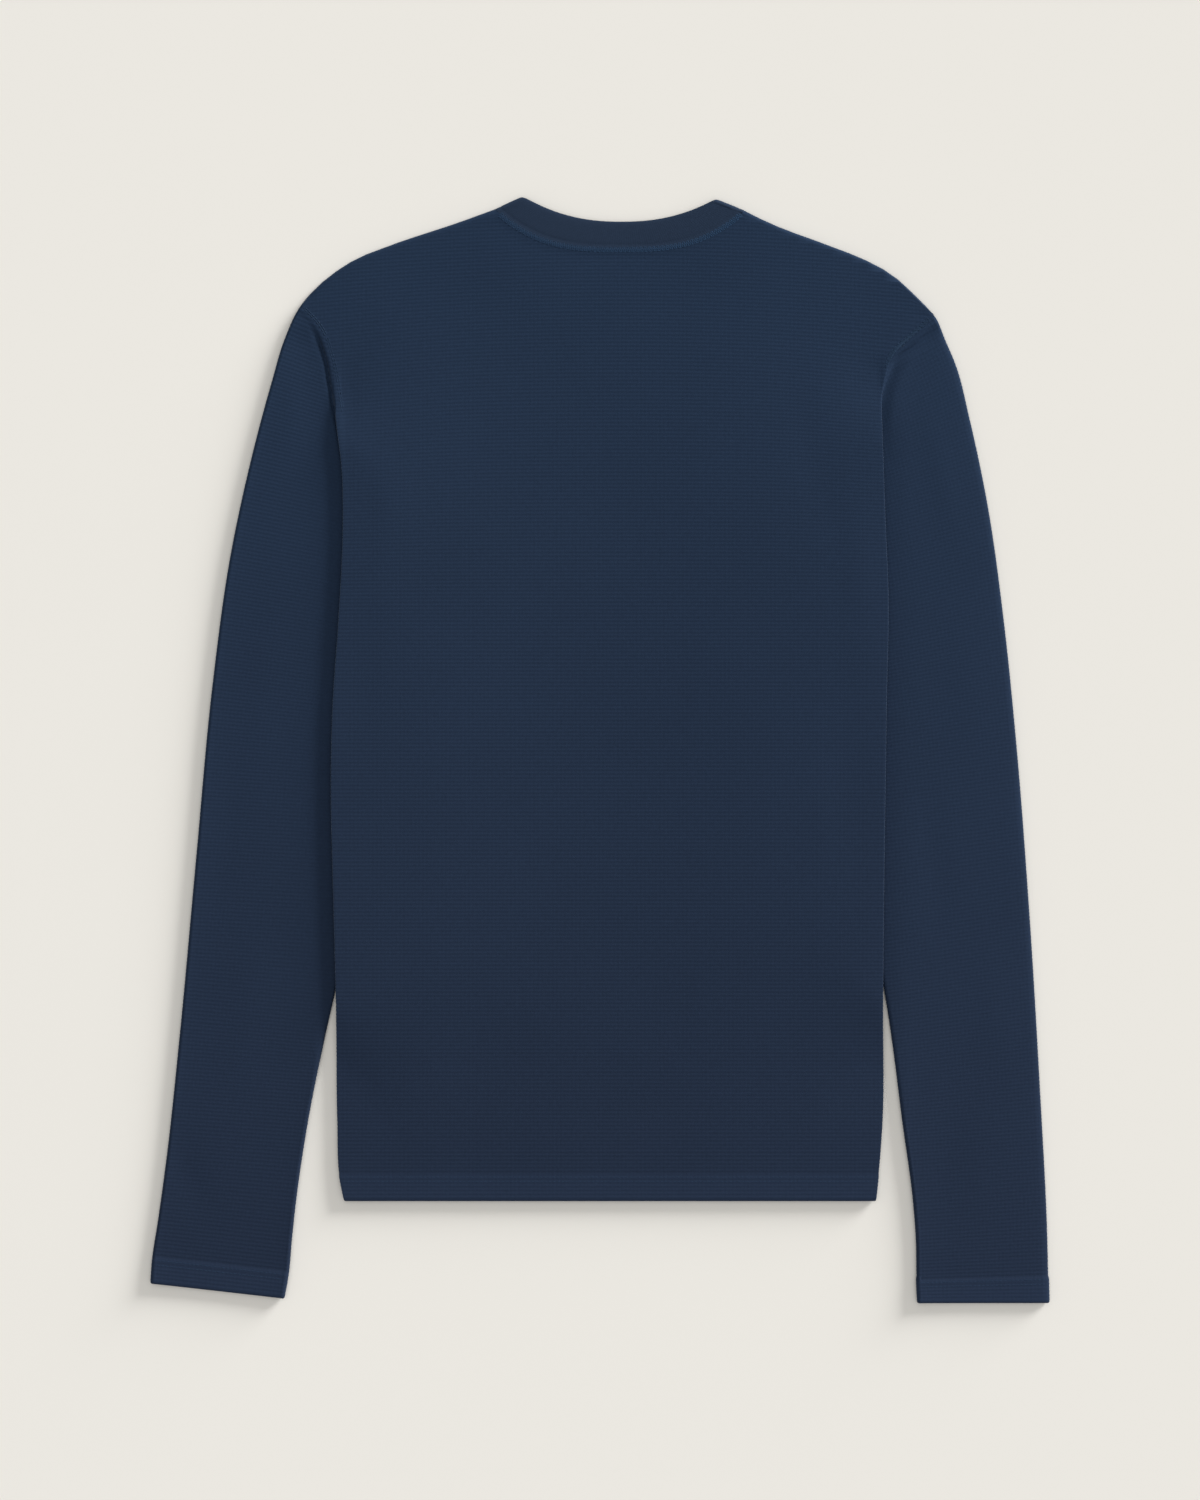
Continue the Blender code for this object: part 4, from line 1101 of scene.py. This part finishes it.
def knit_material(name, low, top, wale_pitch, wale_groove_shade, rib_groove_shade, hem_highlight_share):
    """Matte washed cotton knit: mottled colour, painted shade in the grooves, loops as fine relief.

    The map's first coordinate runs across the knit, and its second one from the hem up.
    """
    nodes = Nodes(name)
    across, along = nodes.split(nodes.node("ShaderNodeUVMap", {}, uv_map="knit")["UV"])
    x, y = nodes.split(nodes.position())
    course = nodes.wave(along, COURSE)
    wale = nodes.wave(across, wale_pitch)
    loops = nodes.math("MULTIPLY", nodes.wave(across, wale_pitch / 3),
                       nodes.wave(along, COURSE / 3))
    # painted highlight: the turned hem and cuffs are lighter
    hem_highlight_mask = nodes.node("ShaderNodeMapRange", {
        "Value": along, "From Min": (TURNING - HEM_HIGHLIGHT_STEP) * MM,
        "From Max": (TURNING + HEM_HIGHLIGHT_STEP) * MM, "To Min": hem_highlight_share, "To Max": 0.0,
    }, interpolation_type="SMOOTHSTEP")["Result"]
    shade = nodes.sum(
        MIDDLE_SHADE,
        (y, PAINTED_LIGHT_UP),
        (x, PAINTED_LIGHT_ACROSS),
        (nodes.math("ABSOLUTE", x), SHADE_ASIDE),
        (hem_highlight_mask, 1.0),
        (nodes.noise(scale=11.0, detail=3.0), BLOTCHES),
        (nodes.noise(scale=420.0, detail=3.0, roughness=0.7), MOTTLE),
        # painted shade: darker in the grooves between the ribs and between the wales
        (course, rib_groove_shade),
        (wale, wale_groove_shade))
    # with the painted shade towards the bottom the colour also turns from top, bluer, to low, more
    # neutral
    nodes.dye(nodes.between(nodes.sum(0.5, (y, 1.4)), low, top),
              nodes.sum(DARKEST, (shade, SHADE_ADDS)))

    fuzz = nodes.noise(scale=900.0, detail=4.0, roughness=0.6)
    height = nodes.sum(0.0, (wale, 0.3), (loops, 0.6), (fuzz, 0.7))
    relief = nodes.node("ShaderNodeBump", {"Strength": 0.6, "Distance": 0.12 * MM,
                                           "Height": height})
    nodes.fill(nodes.shader, {
        "Normal": relief["Normal"], "Roughness": 0.92, "Specular IOR Level": 0.1,
        "Sheen Weight": 0.25, "Sheen Roughness": 0.3, "Sheen Tint": opaque((0.55, 0.66, 0.85))})
    return nodes.material

def thread_material(name, colour, painted_light_gain):
    """Twisted thread with painted light: lighter by the given share for each metre towards +x."""
    nodes = Nodes(name)
    x, _ = nodes.split(nodes.position())
    painted_thread_light = nodes.sum(1.0, (nodes.math("MAXIMUM", x, 0.0), painted_light_gain))
    twisted = nodes.between(nodes.noise(scale=1500.0), opaque(colour, 0.7), opaque(colour, 1.3))
    nodes.dye(twisted, nodes.math("MINIMUM", painted_thread_light, THREAD_LIGHTEST))
    nodes.fill(nodes.shader, {"Roughness": 0.75, "Specular IOR Level": 0.2})
    return nodes.material

def floor_material():
    nodes = Nodes("pale_floor")
    grain = nodes.between(nodes.noise(scale=6.0), (0.800, 0.776, 0.724), (0.806, 0.782, 0.730))
    nodes.fill(nodes.shader, {"Base Color": grain, "Roughness": 0.95, "Specular IOR Level": 0.1})
    return nodes.material


# ---- Studio

AMBIENT = 0.36
SUNS = {                  # strength, elevation, azimuth from +x towards +y, softness
    "key": (5.0, 12.5, 42.0, 26.0),
    "overhead": (1.03, 90.0, 0.0, 60.0),
}
FLOOR_HALF = 3000.0
FLOOR_UP = -0.4
VIEW_HEIGHT = 1050.0      # how much of the floor the picture's height takes in
CAMERA_DISTANCE = 2800.0
SENSOR = 36.0

def make_floor():
    mesh = bpy.data.meshes.new("floor")
    corners = [(x, y, FLOOR_UP) for x, y in ((-FLOOR_HALF, -FLOOR_HALF), (FLOOR_HALF, -FLOOR_HALF),
                                             (FLOOR_HALF, FLOOR_HALF), (-FLOOR_HALF, FLOOR_HALF))]
    mesh.from_pydata((np.array(corners) * MM).tolist(), [], [(0, 1, 2, 3)])
    mesh.materials.append(floor_material())
    floor = add_object("floor", mesh)

def make_lights():
    world = bpy.data.worlds.new("studio")
    world.use_nodes = True
    background = world.node_tree.nodes["Background"]
    background.inputs["Color"].default_value = (1.0, 1.0, 1.0, 1.0)
    background.inputs["Strength"].default_value = AMBIENT
    bpy.context.scene.world = world
    for name, (strength, elevation, azimuth, softness) in SUNS.items():
        sun = bpy.data.lights.new(name, "SUN")
        sun.energy = strength
        sun.angle = math.radians(softness)
        lamp = add_object(name, sun)
        lamp.rotation_euler = (0.0, math.radians(90.0 - elevation), math.radians(azimuth))

def make_camera():
    lens = bpy.data.cameras.new("camera")
    lens.sensor_fit = "VERTICAL"
    lens.sensor_height = SENSOR
    lens.lens = SENSOR * CAMERA_DISTANCE / VIEW_HEIGHT
    lens.clip_end = 20.0
    camera = add_object("camera", lens)
    camera.location = (0.0, 0.0, CAMERA_DISTANCE * MM)
    bpy.context.scene.camera = camera
    bpy.context.scene.view_settings.view_transform = "Standard"

def main():
    navy_band = (0.0152, 0.0268, 0.0510)
    # painted shade in the rib and wale grooves, painted highlight on the turned hem and cuffs
    knit = knit_material("thermal_knit", low=(0.0148, 0.0247, 0.0492), top=(0.0127, 0.0259, 0.0532),
                         wale_pitch=COURSE, wale_groove_shade=0.02, rib_groove_shade=0.17, hem_highlight_share=0.28)
    # painted shade in the grooves between the band's wales
    band_knit = knit_material("band_knit", low=navy_band, top=navy_band,
                              wale_pitch=1.5, wale_groove_shade=0.12, rib_groove_shade=0.0, hem_highlight_share=0.0)
    thread = thread_material("thread", (0.0145, 0.0360, 0.074), painted_light_gain=0.0)
    # painted light: the neck's cover thread is lighter towards +x
    cover_thread = thread_material("cover_thread", (0.0150, 0.041, 0.088), painted_light_gain=3.2)

    back = make_back(knit)
    front = make_front(knit)
    sleeves = {}
    cuff_rows = {}
    for side in SIDES:
        sleeves[side], cuff_rows[side] = make_sleeve(side, knit)
    neckband = make_neckband(band_knit)
    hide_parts("back")
    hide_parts("front")
    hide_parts("sleeve_left")
    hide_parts("sleeve_right")
    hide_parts("neckband")

    neck_thread = neck_stitches(cover_thread)
    hem_thread = hem_stitches(thread)
    armhole_thread = [armhole_stitches(side, thread) for side in SIDES]
    cuff_thread = {side: cuff_stitches(side, cuff_rows[side], thread) for side in SIDES}

    make_floor()
    make_lights()
    make_camera()

main()
